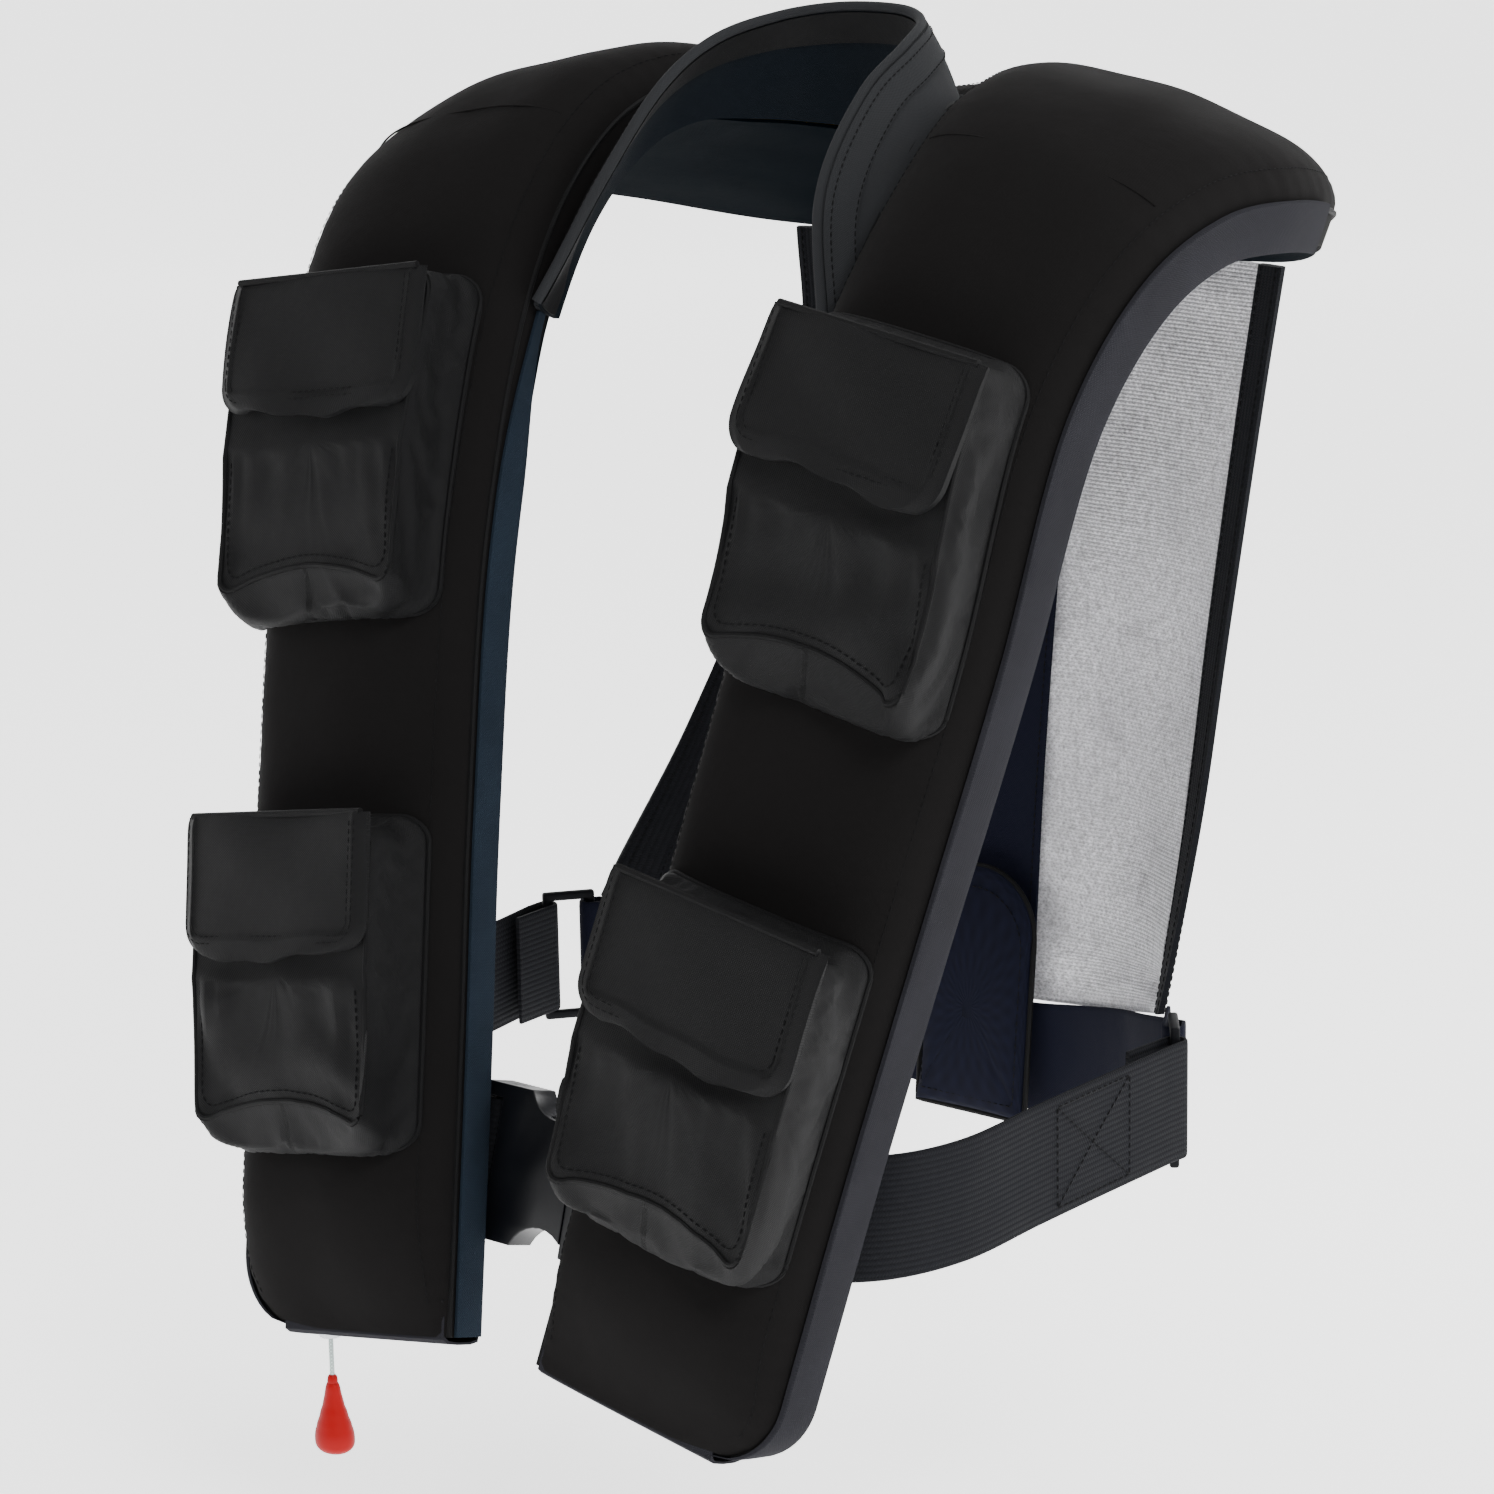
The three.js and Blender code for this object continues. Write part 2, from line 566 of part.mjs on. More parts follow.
{
  const share = EDGE_BINDING_WIDTH / (neckSide + 60);
  const across = steps(14, -1 + share, 1 - share);
  const face = (depth) => steps(9).map((v) => across.map((u) => backPoint(u, v, depth)));
  addMesh('back_mesh', sheetSolid(face(0), face(MESH_THICKNESS)), finish.mesh);

  const gap = SEAM_GAP / (neckSide + 60);
  for (const [part, sign] of [['left', 1], ['right', -1]]) {
    const edges = [1 - share + gap, 1 - share / 2, 1].map((u) => sign * u);
    const row = (depth) => steps(9).map((v) => edges.map((u) => backPoint(u, v, depth)));
    addMesh(`edge_binding_${part}`, sheetSolid(row(-0.5), row(MESH_THICKNESS + 0.5)), finish.webbing);
  }
}

const LAYER = 3;                        // back panel's face to the strap's outer face
{
  const half = STRAP_WIDTH / 2 / (neckSide + 55);
  const face = (depth) => steps(9, 0.01, 0.97).map((v) =>
    [-half, 0, half].map((u) => backPoint(u, v, depth)));
  addMesh('back_strap', sheetSolid(face(LAYER), face(LAYER + WEBBING_THICKNESS)), finish.navy);
}

// ---------------------------------------------------------------- lumbar pad
const PAD_SET_IN = 8;                   // back panel's face to the pad's back, clear of the strap and belt
{
  const centre = backMiddle.getPoint(0.985);
  const group = new THREE.Group();
  const up = new THREE.Vector3(0, 0.098, 0.995).normalize();
  const inward = new THREE.Vector3(1, 0, 0).cross(up).normalize();
  group.position.copy(centre).addScaledVector(inward, PAD_SET_IN);
  group.quaternion.setFromRotationMatrix(new THREE.Matrix4().makeBasis(new THREE.Vector3(1, 0, 0), up, inward));
  jacket.add(group);
  const half = PAD_WIDTH / 2;
  const outline = new THREE.Shape();
  outline.moveTo(-half, -PAD_HEIGHT / 2);
  outline.lineTo(half, -PAD_HEIGHT / 2);
  outline.lineTo(half, PAD_HEIGHT / 2 - half);
  outline.absarc(0, PAD_HEIGHT / 2 - half, half, 0, Math.PI, false);
  const pad = new THREE.ExtrudeGeometry(outline, { depth: PAD_THICKNESS, bevelEnabled: false, curveSegments: 10 });
  addMesh('lumbar_pad', pad, finish.navy, group);
}

// ---------------------------------------------------------------- waist belt
// A strip of webbing along stations that each give a middle point, an upward and an outward direction.
function webbing(stations) {
  const face = (depth) => stations.map(({ point, up, out }) => [-0.5, 0.5].map((t) =>
    point.clone().addScaledVector(up, t * WEBBING_WIDTH).addScaledVector(out, depth)));
  return sheetSolid(face(WEBBING_THICKNESS / 2), face(-WEBBING_THICKNESS / 2));
}

// Stations along points, with the upward direction turned from one end's to the other's.
function alongBelt(points, upFirst, upLast, count) {
  const path = new THREE.CatmullRomCurve3(points, false, 'centripetal');
  return steps(count).map((t) => {
    const up = upFirst.clone().lerp(upLast, THREE.MathUtils.smoothstep(t, 0.3, 0.8)).normalize();
    const out = up.clone().cross(path.getTangent(t)).normalize();
    return { point: path.getPoint(t), up, out };
  });
}

// Webbing that comes in on one side of a bar, turns round it and leaves on its other side.
const LOOP_RADIUS = RING_BAR / 2 + BELT_SLOT_CLEARANCE + WEBBING_THICKNESS / 2;
function roundBar(bar, leave, up, tail) {
  const outward = up.clone().cross(leave).normalize();
  const at = (angle) => outward.clone().multiplyScalar(Math.sin(angle)).addScaledVector(leave, -Math.cos(angle));
  const turn = steps(6, -Math.PI / 2, Math.PI / 2).map((angle) => ({
    point: bar.clone().addScaledVector(at(angle), LOOP_RADIUS), up: up.clone(), out: at(angle) }));
  const start = { ...turn[0], point: turn[0].point.clone().addScaledVector(leave, tail) };
  return [start, ...turn];
}
const mirrorStation = ({ point, up, out }) => ({ point: mirrored(point), up: mirrored(up), out: mirrored(out) });

const UP = new THREE.Vector3(0, 0, 1);
const LEAN = new THREE.Vector3(0, 0.28, 0.96).normalize();           // belt's upward direction behind the lobes
const BELT_FOLD = 26;                                               // webbing folded back behind a bar
const ringMiddle = new THREE.Vector3(neckSide + 87, 36, ringHeight);
const ringForward = new THREE.Vector3(0.6, -0.8, 0);
const barReach = RING_LENGTH / 2 - RING_BAR / 2;
const frontBar = ringMiddle.clone().addScaledVector(ringForward, barReach);
const backBar = ringMiddle.clone().addScaledVector(ringForward, -barReach);

{
  const height = WEBBING_WIDTH + 2 * BELT_SLOT_CLEARANCE + 2 * RING_BAR;
  const plate = box(RING_LENGTH, RING_BAR, height);
  const window = box(RING_LENGTH - 2 * RING_BAR, 2 * RING_BAR, height - 2 * RING_BAR);
  for (const [part, sign] of [['left', 1], ['right', -1]]) {
    const ring = addMesh(`side_ring_${part}`, cut(plate, window), finish.plastic);
    ring.position.set(sign * ringMiddle.x, ringMiddle.y, ringMiddle.z);
    ring.rotation.z = Math.atan2(ringForward.y, sign * ringForward.x);
  }
}
{
  const leave = new THREE.Vector3(-0.5, 0.866, 0);
  const loop = roundBar(backBar, leave, UP.clone().negate(), BELT_FOLD);
  const points = [0.82, 0.6, 0.36, 0.15].map((u) => {
    const point = backPoint(u, 1, LAYER + WEBBING_THICKNESS / 2);
    point.z = THREE.MathUtils.lerp(middleHeight, ringMiddle.z, u ** 1.6);
    return point;
  });
  const first = loop.at(-1).point.clone().addScaledVector(leave, 6);
  const half = [first, ...points];
  const whole = [...half, ...half.slice().reverse().map(mirrored)];
  const middle = alongBelt(whole, UP.clone().negate(), UP.clone().negate(), 22);
  addMesh('back_belt', webbing([...loop, ...middle, ...loop.map(mirrorStation).reverse()]), finish.navy);
}

// Front belt from the side ring to behind the front lobe.
const KEEPER_RISE = 86;                 // hem to the keeper's middle
const KEEPER_DEEP = -28;                // keeper's back from the edge line
const BELT_INSET = 4.55;                // keeper's back to the belt's middle
const keeperFrame = stationFrame(stationAt(KEEPER_RISE));
const beltDepth = placeOn(keeperFrame, keeperFrame.width / 2, KEEPER_DEEP + BELT_INSET).y;
function frontBelt(lastPoints) {
  const leave = new THREE.Vector3(-0.06, -0.998, 0).normalize();
  const loop = roundBar(frontBar, leave, UP, BELT_FOLD);
  const points = [
    loop.at(-1).point.clone().addScaledVector(leave, 8),
    new THREE.Vector3(neckSide + 90, beltDepth + 85, beltHeight + 15),
    new THREE.Vector3(neckSide + 84, beltDepth + 40, beltHeight + 11),
    new THREE.Vector3(neckSide + 70, beltDepth + 13, beltHeight + 9),
    new THREE.Vector3(neckSide + 46, beltDepth, beltHeight + 7),
    ...lastPoints,
  ];
  return { loop, middle: alongBelt(points, UP, LEAN, 20) };
}

// ---------------------------------------------------------------- side-release buckle
// Local x towards the wearer's left, y up, z out from the wearer.
const buckle = new THREE.Group();
const bucklePlace = new THREE.Vector3(0, beltDepth - 8, beltHeight);
const buckleOut = new THREE.Vector3(1, 0, 0).cross(LEAN).normalize();
buckle.position.copy(bucklePlace);
buckle.quaternion.setFromRotationMatrix(new THREE.Matrix4().makeBasis(new THREE.Vector3(1, 0, 0), LEAN, buckleOut));
jacket.add(buckle);
buckle.updateMatrixWorld();

const SPLIT = 8;                        // where the two halves meet
const CAVITY_HEIGHT = 2 * (BUCKLE_HEIGHT / 2 - 3 * BUCKLE_WALL);
const CAVITY_DEPTH = BUCKLE_THICKNESS - 2 * BUCKLE_WALL;
const CAVITY_LENGTH = ARM_LENGTH + 4;
const slotHeight = WEBBING_WIDTH + 2 * BELT_SLOT_CLEARANCE;

// One end's frame with the webbing bar across it; from is the end, turn is +1 or -1 along x.
function barredBlock(end, split, turn) {
  const length = Math.abs(split - end);
  const slotLength = RING_BAR + 4.5;
  const block = box(length, BUCKLE_HEIGHT, BUCKLE_THICKNESS, (end + split) / 2, 0, 0);
  const slot = box(2 * slotLength, slotHeight, 2 * BUCKLE_THICKNESS, end, 0, 0);
  const bar = box(RING_BAR, slotHeight + 2, RING_BAR, end + turn * RING_BAR / 2, 0, 0);
  return join(cut(block, slot), bar);
}
const socketEnd = SPLIT - SOCKET_LENGTH;
const plugEnd = SPLIT + RUN_CLEARANCE + PLUG_LENGTH;
{
  const cavity = box(2 * CAVITY_LENGTH, CAVITY_HEIGHT, CAVITY_DEPTH, SPLIT, 0, 0);
  const scallop = (sign) => cylinder(32, 2 * BUCKLE_THICKNESS, 28).rotateX(Math.PI / 2)
    .translate(SPLIT - 11, sign * (BUCKLE_HEIGHT / 2 + 6), 0);
  addMesh('buckle_socket', cut(barredBlock(socketEnd, SPLIT, 1), cavity, scallop(1), scallop(-1)), finish.plastic, buckle);

  const tongue = box(ARM_LENGTH + 2, 10, CAVITY_DEPTH - 3 * RUN_CLEARANCE, SPLIT - ARM_LENGTH / 2 + 1, 0, 0);
  addMesh('buckle_plug', join(barredBlock(plugEnd, SPLIT + RUN_CLEARANCE, -1), tongue), finish.plastic, buckle);
}
const armPivotX = SPLIT - ARM_HEIGHT / 2 - RUN_CLEARANCE;
const armPivotY = CAVITY_HEIGHT / 2 - ARM_HEIGHT / 2 - RUN_CLEARANCE;
for (const [level, sign] of [['upper', 1], ['lower', -1]]) {
  const r = ARM_HEIGHT / 2;
  const shape = new THREE.Shape();
  shape.absarc(0, 0, r, -Math.PI / 2, Math.PI / 2, false);
  shape.lineTo(r - ARM_LENGTH, r);
  shape.lineTo(2 * r - ARM_LENGTH, -r);
  const depth = CAVITY_DEPTH - 3 * RUN_CLEARANCE;
  const arm = new THREE.ExtrudeGeometry(shape, { depth, bevelEnabled: false, curveSegments: 8 });
  arm.translate(0, 0, -depth / 2);
  if (sign < 0) arm.rotateX(Math.PI);
  const mesh = addMesh(`release_arm_${level}`, arm, finish.plastic, buckle);
  mesh.position.set(armPivotX, sign * armPivotY, 0);
}

// Webbing stitched round each half's bar.
{
  const bar = (x) => new THREE.Vector3(x, 0, 0).applyMatrix4(buckle.matrixWorld);
  const socketBar = bar(socketEnd + RING_BAR / 2);
  const plugBar = bar(plugEnd - RING_BAR / 2);
  const left = frontBelt([
    new THREE.Vector3(neckSide + 14, beltDepth, beltHeight + 4),
    new THREE.Vector3(plugBar.x + 8, beltDepth, beltHeight + 1),
  ]);
  addMesh('front_belt_left', webbing([...left.loop, ...left.middle]), finish.webbing);

  const leave = new THREE.Vector3(1, 0, 0);
  const fold = roundBar(plugBar, leave, LEAN, BELT_FOLD - 4);
  const end = { ...fold.at(-1), point: fold.at(-1).point.clone().addScaledVector(leave, BELT_FOLD + 16) };
  addMesh('plug_webbing', webbing([...fold, end]), finish.webbing);

  const socketFold = roundBar(socketBar.clone().setX(-socketBar.x), leave, LEAN, BELT_FOLD);
  const out = socketFold.at(-1).point;
  const right = frontBelt([
    new THREE.Vector3(neckSide + 10, beltDepth, beltHeight + 4),
    new THREE.Vector3(out.x + 24, out.y, out.z),
    new THREE.Vector3(out.x + 4, out.y, out.z),
  ]);
  const stations = [...right.loop, ...right.middle, ...socketFold.slice().reverse()];
  addMesh('front_belt_right', webbing(stations.map(mirrorStation)), finish.webbing);
}

// A keeper of tape on each liner that holds the belt behind the lobe.
const KEEPER_WIDTH = 30;
function keeper(part) {
  const high = -EDGE_DROP - SEAM_GAP - LINER_THICKNESS - 1;
  const reach = WEBBING_WIDTH / 2 + 9;
  const path = [[reach + 13, high], [reach + 3, high - 2], [reach, KEEPER_DEEP + 3], [reach - 3, KEEPER_DEEP],
    [3 - reach, KEEPER_DEEP], [-reach, KEEPER_DEEP + 3], [-reach - 3, high - 2], [-reach - 13, high]];
  const face = (side) => path.map(([ds, h], i) => {
    const [a, b] = [path[Math.max(0, i - 1)], path[Math.min(path.length - 1, i + 1)]];
    const length = Math.hypot(b[0] - a[0], b[1] - a[1]);
    const normal = [-(b[1] - a[1]) / length, (b[0] - a[0]) / length];
    const s = KEEPER_RISE + ds + side * normal[0] * 0.6;
    const k = part === 'left' ? stationAt(s) : LAST - stationAt(s);
    const frame = stationFrame(k);
    return [-0.5, 0.5].map((t) => placeOn(frame, frame.width / 2 + t * KEEPER_WIDTH, h + side * normal[1] * 0.6));
  });
  return sheetSolid(face(1), face(-1));
}
for (const part of ['left', 'right']) addMesh(`belt_keeper_${part}`, keeper(part), finish.webbing);

// ---------------------------------------------------------------- inflator, in the right front lobe
const headX = 14;                       // head's middle from the lobe's middle, towards the neck
const stemX = -10;                      // from the head's middle
const shotX = 6;                        // cylinder and pin, from the head's middle
const shotZ = BLADDER_FOLDED + CYLINDER_REST + CYLINDER_DIAMETER / 2;   // cylinder's axis above the edge line
const headLow = shotZ - HEAD_DEPTH / 2;
const inflator = lobeGroup('right', INFLATOR_RISE, 0, headX);
const neckSeat = HEAD_HEIGHT / 2 - NECK_LENGTH;
const pinDiameter = 4;
const PIN_STROKE = 4;
const pivot = { x: shotX, y: -HEAD_HEIGHT / 2 + 5 };
const BOSS_DIAMETER = 6;
const LEVER_THICKNESS = 4;
const leverLow = headLow + HEAD_DEPTH + RUN_CLEARANCE;
const upright = (geometry) => geometry.rotateX(Math.PI / 2);        // lathe axis to local z
{
  const hole = (d) => upright(cylinder(d, 4 * HEAD_DEPTH)).translate(stemX, 0, 0);
  const bore = (d, from, to) => cylinder(d, to - from).translate(shotX, (from + to) / 2, shotZ);
  const block = box(HEAD_WIDTH, HEAD_HEIGHT, HEAD_DEPTH, 0, 0, shotZ);
  const boss = upright(cylinder(BOSS_DIAMETER, LEVER_THICKNESS + 2))
    .translate(pivot.x, pivot.y, leverLow + LEVER_THICKNESS / 2 - 0.5);
  const shell = join(block, boss);
  const head = cut(shell, hole(STEM_DIAMETER + 2 * RUN_CLEARANCE),
    bore(NECK_DIAMETER + 2 * RUN_CLEARANCE, neckSeat, HEAD_HEIGHT),
    bore(pinDiameter + 2 * RUN_CLEARANCE, -HEAD_HEIGHT / 2 + 12, neckSeat + 1));
  addMesh('inflator_head', head, finish.plastic, inflator);

  const flangeLow = BLADDER_FOLDED + RUN_CLEARANCE;
  const stemTop = headLow + HEAD_DEPTH + 4.5;
  const flange = lathe([[0, flangeLow], [17, flangeLow], [17, flangeLow + 1.8],
    [STEM_DIAMETER / 2, flangeLow + 1.8], [STEM_DIAMETER / 2, stemTop], [0, stemTop]]);
  addMesh('bladder_manifold', upright(flange).translate(stemX, 0, 0), finish.plastic, inflator);

  const capLow = headLow + HEAD_DEPTH + RUN_CLEARANCE;
  const inner = STEM_DIAMETER / 2 + RUN_CLEARANCE;
  const nut = lathe([[inner, capLow], [8.5, capLow], [8.5, capLow + 3], [inner, capLow + 3], [inner, capLow]], 16);
  addMesh('manifold_nut', upright(nut).translate(stemX, 0, 0), finish.steel, inflator);

  const r = CYLINDER_DIAMETER / 2;
  const low = neckSeat + RUN_CLEARANCE;
  const shoulder = HEAD_HEIGHT / 2 + 2;
  const high = low + CYLINDER_LENGTH;
  const bottle = lathe([[0, low], [NECK_DIAMETER / 2, low], [NECK_DIAMETER / 2, shoulder], [r * 0.8, shoulder + 8],
    [r, shoulder + 16], [r, high - 9], [r * 0.75, high - 2], [0, high]], 24);
  addMesh('gas_cylinder', bottle.translate(shotX, 0, shotZ), finish.steel, inflator);

  const pinTop = neckSeat + RUN_CLEARANCE - PIN_STROKE - RUN_CLEARANCE;
  const pinLow = -HEAD_HEIGHT / 2 + 13;
  const pin = lathe([[0, pinLow], [pinDiameter / 2, pinLow], [pinDiameter / 2, pinTop - 4], [0, pinTop]], 12);
  addMesh('piercing_pin', pin.translate(shotX, 0, shotZ), finish.steel, inflator);

  const outline = new THREE.Shape();
  const hub = 6.5;
  const tip = 4;
  outline.absarc(0, 0, hub, -Math.PI / 2, Math.PI / 2, false);
  outline.lineTo(-LEVER_REACH, tip);
  outline.absarc(-LEVER_REACH, 0, tip, Math.PI / 2, 1.5 * Math.PI, false);
  const eye = new THREE.Path();
  eye.absarc(0, 0, BOSS_DIAMETER / 2 + RUN_CLEARANCE, 0, 2 * Math.PI, true);
  outline.holes.push(eye);
  const lever = new THREE.ExtrudeGeometry(outline, { depth: LEVER_THICKNESS, bevelEnabled: false, curveSegments: 8 });
  const mesh = addMesh('firing_lever', lever, finish.red, inflator);
  mesh.position.set(pivot.x, pivot.y, leverLow + RUN_CLEARANCE / 2);
}

// Pull cord, straight down from the lever's tip through the hem to the knob.
{
  inflator.updateMatrixWorld();
  const tip = new THREE.Vector3(pivot.x - LEVER_REACH, pivot.y, leverLow + LEVER_THICKNESS / 2)
    .applyMatrix4(inflator.matrixWorld);
  const cordTop = tip.z - 6;
  const cord = cylinder(CORD_DIAMETER, CORD_LENGTH, 8).rotateX(Math.PI / 2)
    .translate(tip.x, tip.y, cordTop - CORD_LENGTH / 2);
  addMesh('pull_cord', cord, finish.cord);

  const knobTop = cordTop - CORD_LENGTH - 0.3;
  const r = KNOB_DIAMETER / 2;
  const profile = [[0, 0], [0.3 * r, 0], [0.42 * r, -0.2], [0.95 * r, -0.68], [r, -0.78], [0.82 * r, -0.93], [0.4 * r, -1], [0, -1]]
    .map(([radius, share], i) => [radius, i < 2 ? 0 : share * KNOB_LENGTH]);
  addMesh('pull_knob', lathe(profile, 20).rotateX(Math.PI / 2).translate(tip.x, tip.y, knobTop), finish.red);

  const hemHeight = innerLine[0].z + (Math.abs(tip.x) - innerLine[0].x) * side.z / side.x;
  const [bore, rim, half] = [CORD_DIAMETER / 2 + 1.5, CORD_DIAMETER / 2 + 4, 2.5];
  const eyelet = lathe([[bore, -half], [rim, -half], [rim, half], [bore, half], [bore, -half]], 16);
  addMesh('hem_grommet', eyelet.rotateX(Math.PI / 2).translate(tip.x, tip.y, hemHeight), finish.steel);
}

// ---------------------------------------------------------------- oral inflation tube, in the left front lobe
{
  const tubeX = 12;
  const tubeLow = 118;
  const TUBE_LENGTH = 140;
  const r = ORAL_TUBE_DIAMETER / 2;
  const bore = r - 2;
  const axisZ = BLADDER_FOLDED + r + 3;
  const oral = lobeGroup('left', tubeLow + TUBE_LENGTH / 2, axisZ, tubeX);
  const half = TUBE_LENGTH / 2;
  const tube = lathe([[bore, -half], [r, -half], [r, half], [bore, half], [bore, -half]], 14);
  addMesh('oral_tube', tube, finish.plastic, oral);

  const valveLow = half + 0.4;
  const collarTop = valveLow + 26;
  const seat = 3.4;
  const valve = lathe([[bore, valveLow], [r + 2, valveLow], [r + 2, valveLow + 8], [r, valveLow + 8], [r, collarTop],
    [seat + RUN_CLEARANCE, collarTop], [seat + RUN_CLEARANCE, valveLow + 8], [bore, valveLow + 8], [bore, valveLow]], 18);
  addMesh('oral_valve', valve, finish.plastic, oral);

  const poppet = lathe([[0, valveLow + 5], [seat, valveLow + 5], [seat, collarTop - 2], [0, collarTop - 2]], 14);
  addMesh('valve_poppet', poppet, finish.red, oral);

  const capBore = r + RUN_CLEARANCE;
  const capLow = valveLow + 8.4;
  const capTop = collarTop + 3;
  const cap = lathe([[capBore, capLow], [capBore + 1.8, capLow], [capBore + 1.8, capTop], [0, capTop],
    [0, capTop - 2], [capBore, capTop - 2], [capBore, capLow]], 18);
  addMesh('dust_cap', cap, finish.red, oral);

  const body = new THREE.Shape();
  body.moveTo(-22, -4);
  body.lineTo(6, -8);
  body.lineTo(22, -8);
  body.lineTo(22, 8);
  body.lineTo(-22, 8);
  const eye = new THREE.Path();
  eye.absarc(17, 3, 2.2, 0, 2 * Math.PI, true);
  const voice = new THREE.Path();
  voice.moveTo(-10, 1);
  voice.lineTo(-2, 1);
  voice.lineTo(-2, 5);
  voice.lineTo(-10, 5);
  body.holes.push(eye, voice);
  const whistle = new THREE.ExtrudeGeometry(body, { depth: 9, bevelEnabled: false, curveSegments: 8 });
  whistle.rotateZ(Math.PI / 2).translate(-30, -20, 1 - r);
  addMesh('whistle', whistle, finish.bladder, oral);
}

export default jacket;
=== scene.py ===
"""Inflatable life jacket with bellows pockets: the visual model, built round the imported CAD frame.

Shapes are worked out in millimetres in the row's frame and become metres in mesh_object().
"""
import json
import math

import bmesh
import bpy
import numpy as np
from mathutils import Matrix, Vector


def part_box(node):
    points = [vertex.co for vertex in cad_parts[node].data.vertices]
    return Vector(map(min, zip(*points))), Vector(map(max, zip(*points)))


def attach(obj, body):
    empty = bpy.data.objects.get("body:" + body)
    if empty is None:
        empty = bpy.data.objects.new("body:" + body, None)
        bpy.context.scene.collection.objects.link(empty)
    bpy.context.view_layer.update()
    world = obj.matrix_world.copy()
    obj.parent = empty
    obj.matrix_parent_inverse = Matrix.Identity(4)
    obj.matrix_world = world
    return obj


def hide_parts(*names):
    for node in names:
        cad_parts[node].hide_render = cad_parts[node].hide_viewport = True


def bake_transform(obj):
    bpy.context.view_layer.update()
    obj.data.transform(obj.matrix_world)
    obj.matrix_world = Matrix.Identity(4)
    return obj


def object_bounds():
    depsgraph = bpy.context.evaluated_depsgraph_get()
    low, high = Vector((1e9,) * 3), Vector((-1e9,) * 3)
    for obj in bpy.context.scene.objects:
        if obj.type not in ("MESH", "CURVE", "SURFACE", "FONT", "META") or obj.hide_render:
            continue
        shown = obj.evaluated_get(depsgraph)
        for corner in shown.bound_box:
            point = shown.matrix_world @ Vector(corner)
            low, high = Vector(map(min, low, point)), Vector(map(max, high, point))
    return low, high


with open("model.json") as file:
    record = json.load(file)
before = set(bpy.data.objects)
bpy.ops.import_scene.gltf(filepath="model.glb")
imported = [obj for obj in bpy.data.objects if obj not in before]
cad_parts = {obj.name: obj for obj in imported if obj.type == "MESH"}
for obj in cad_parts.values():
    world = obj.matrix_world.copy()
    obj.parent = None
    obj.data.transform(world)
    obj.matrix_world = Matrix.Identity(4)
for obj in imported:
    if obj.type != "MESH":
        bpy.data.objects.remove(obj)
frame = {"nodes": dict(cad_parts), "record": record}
CAD_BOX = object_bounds()
NODES = frame["nodes"]
SLOTS = {row["node"]: row["material_slot"] for row in frame["record"]["subparts"]}
MM = 0.001


def box_mm(node):
    low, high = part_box(node)
    return np.array(low) / MM, np.array(high) / MM


def linked(name, data):
    """A new object in the scene."""
    obj = bpy.data.objects.new(name, data)
    bpy.context.scene.collection.objects.link(obj)
    return obj


# ---------------------------------------------------------------- camera
AZIMUTH, ELEVATION, ROLL = 40.11, 13.65, -1.05     # degrees
DISTANCE = 1.8908
LENS = 108.43


def place_camera():
    azimuth, elevation, roll = (math.radians(a) for a in (AZIMUTH, ELEVATION, ROLL))
    back = Vector((math.sin(azimuth) * math.cos(elevation), -math.cos(azimuth) * math.cos(elevation),
                   math.sin(elevation)))
    level = Vector((math.cos(azimuth), math.sin(azimuth), 0))
    right = level * math.cos(roll) + back.cross(level) * math.sin(roll)
    up = back.cross(right)
    aim = Vector((0, 0, -0.27)) - 0.0214 * right - 0.021 * up
    data = bpy.data.cameras.new("camera")
    data.lens = LENS
    camera = linked("camera", data)
    turn = Matrix((right, up, back)).transposed().to_4x4()
    camera.matrix_world = Matrix.Translation(aim + DISTANCE * back) @ turn
    bpy.context.scene.camera = camera


place_camera()


# ---------------------------------------------------------------- materials
LOOKS = {}


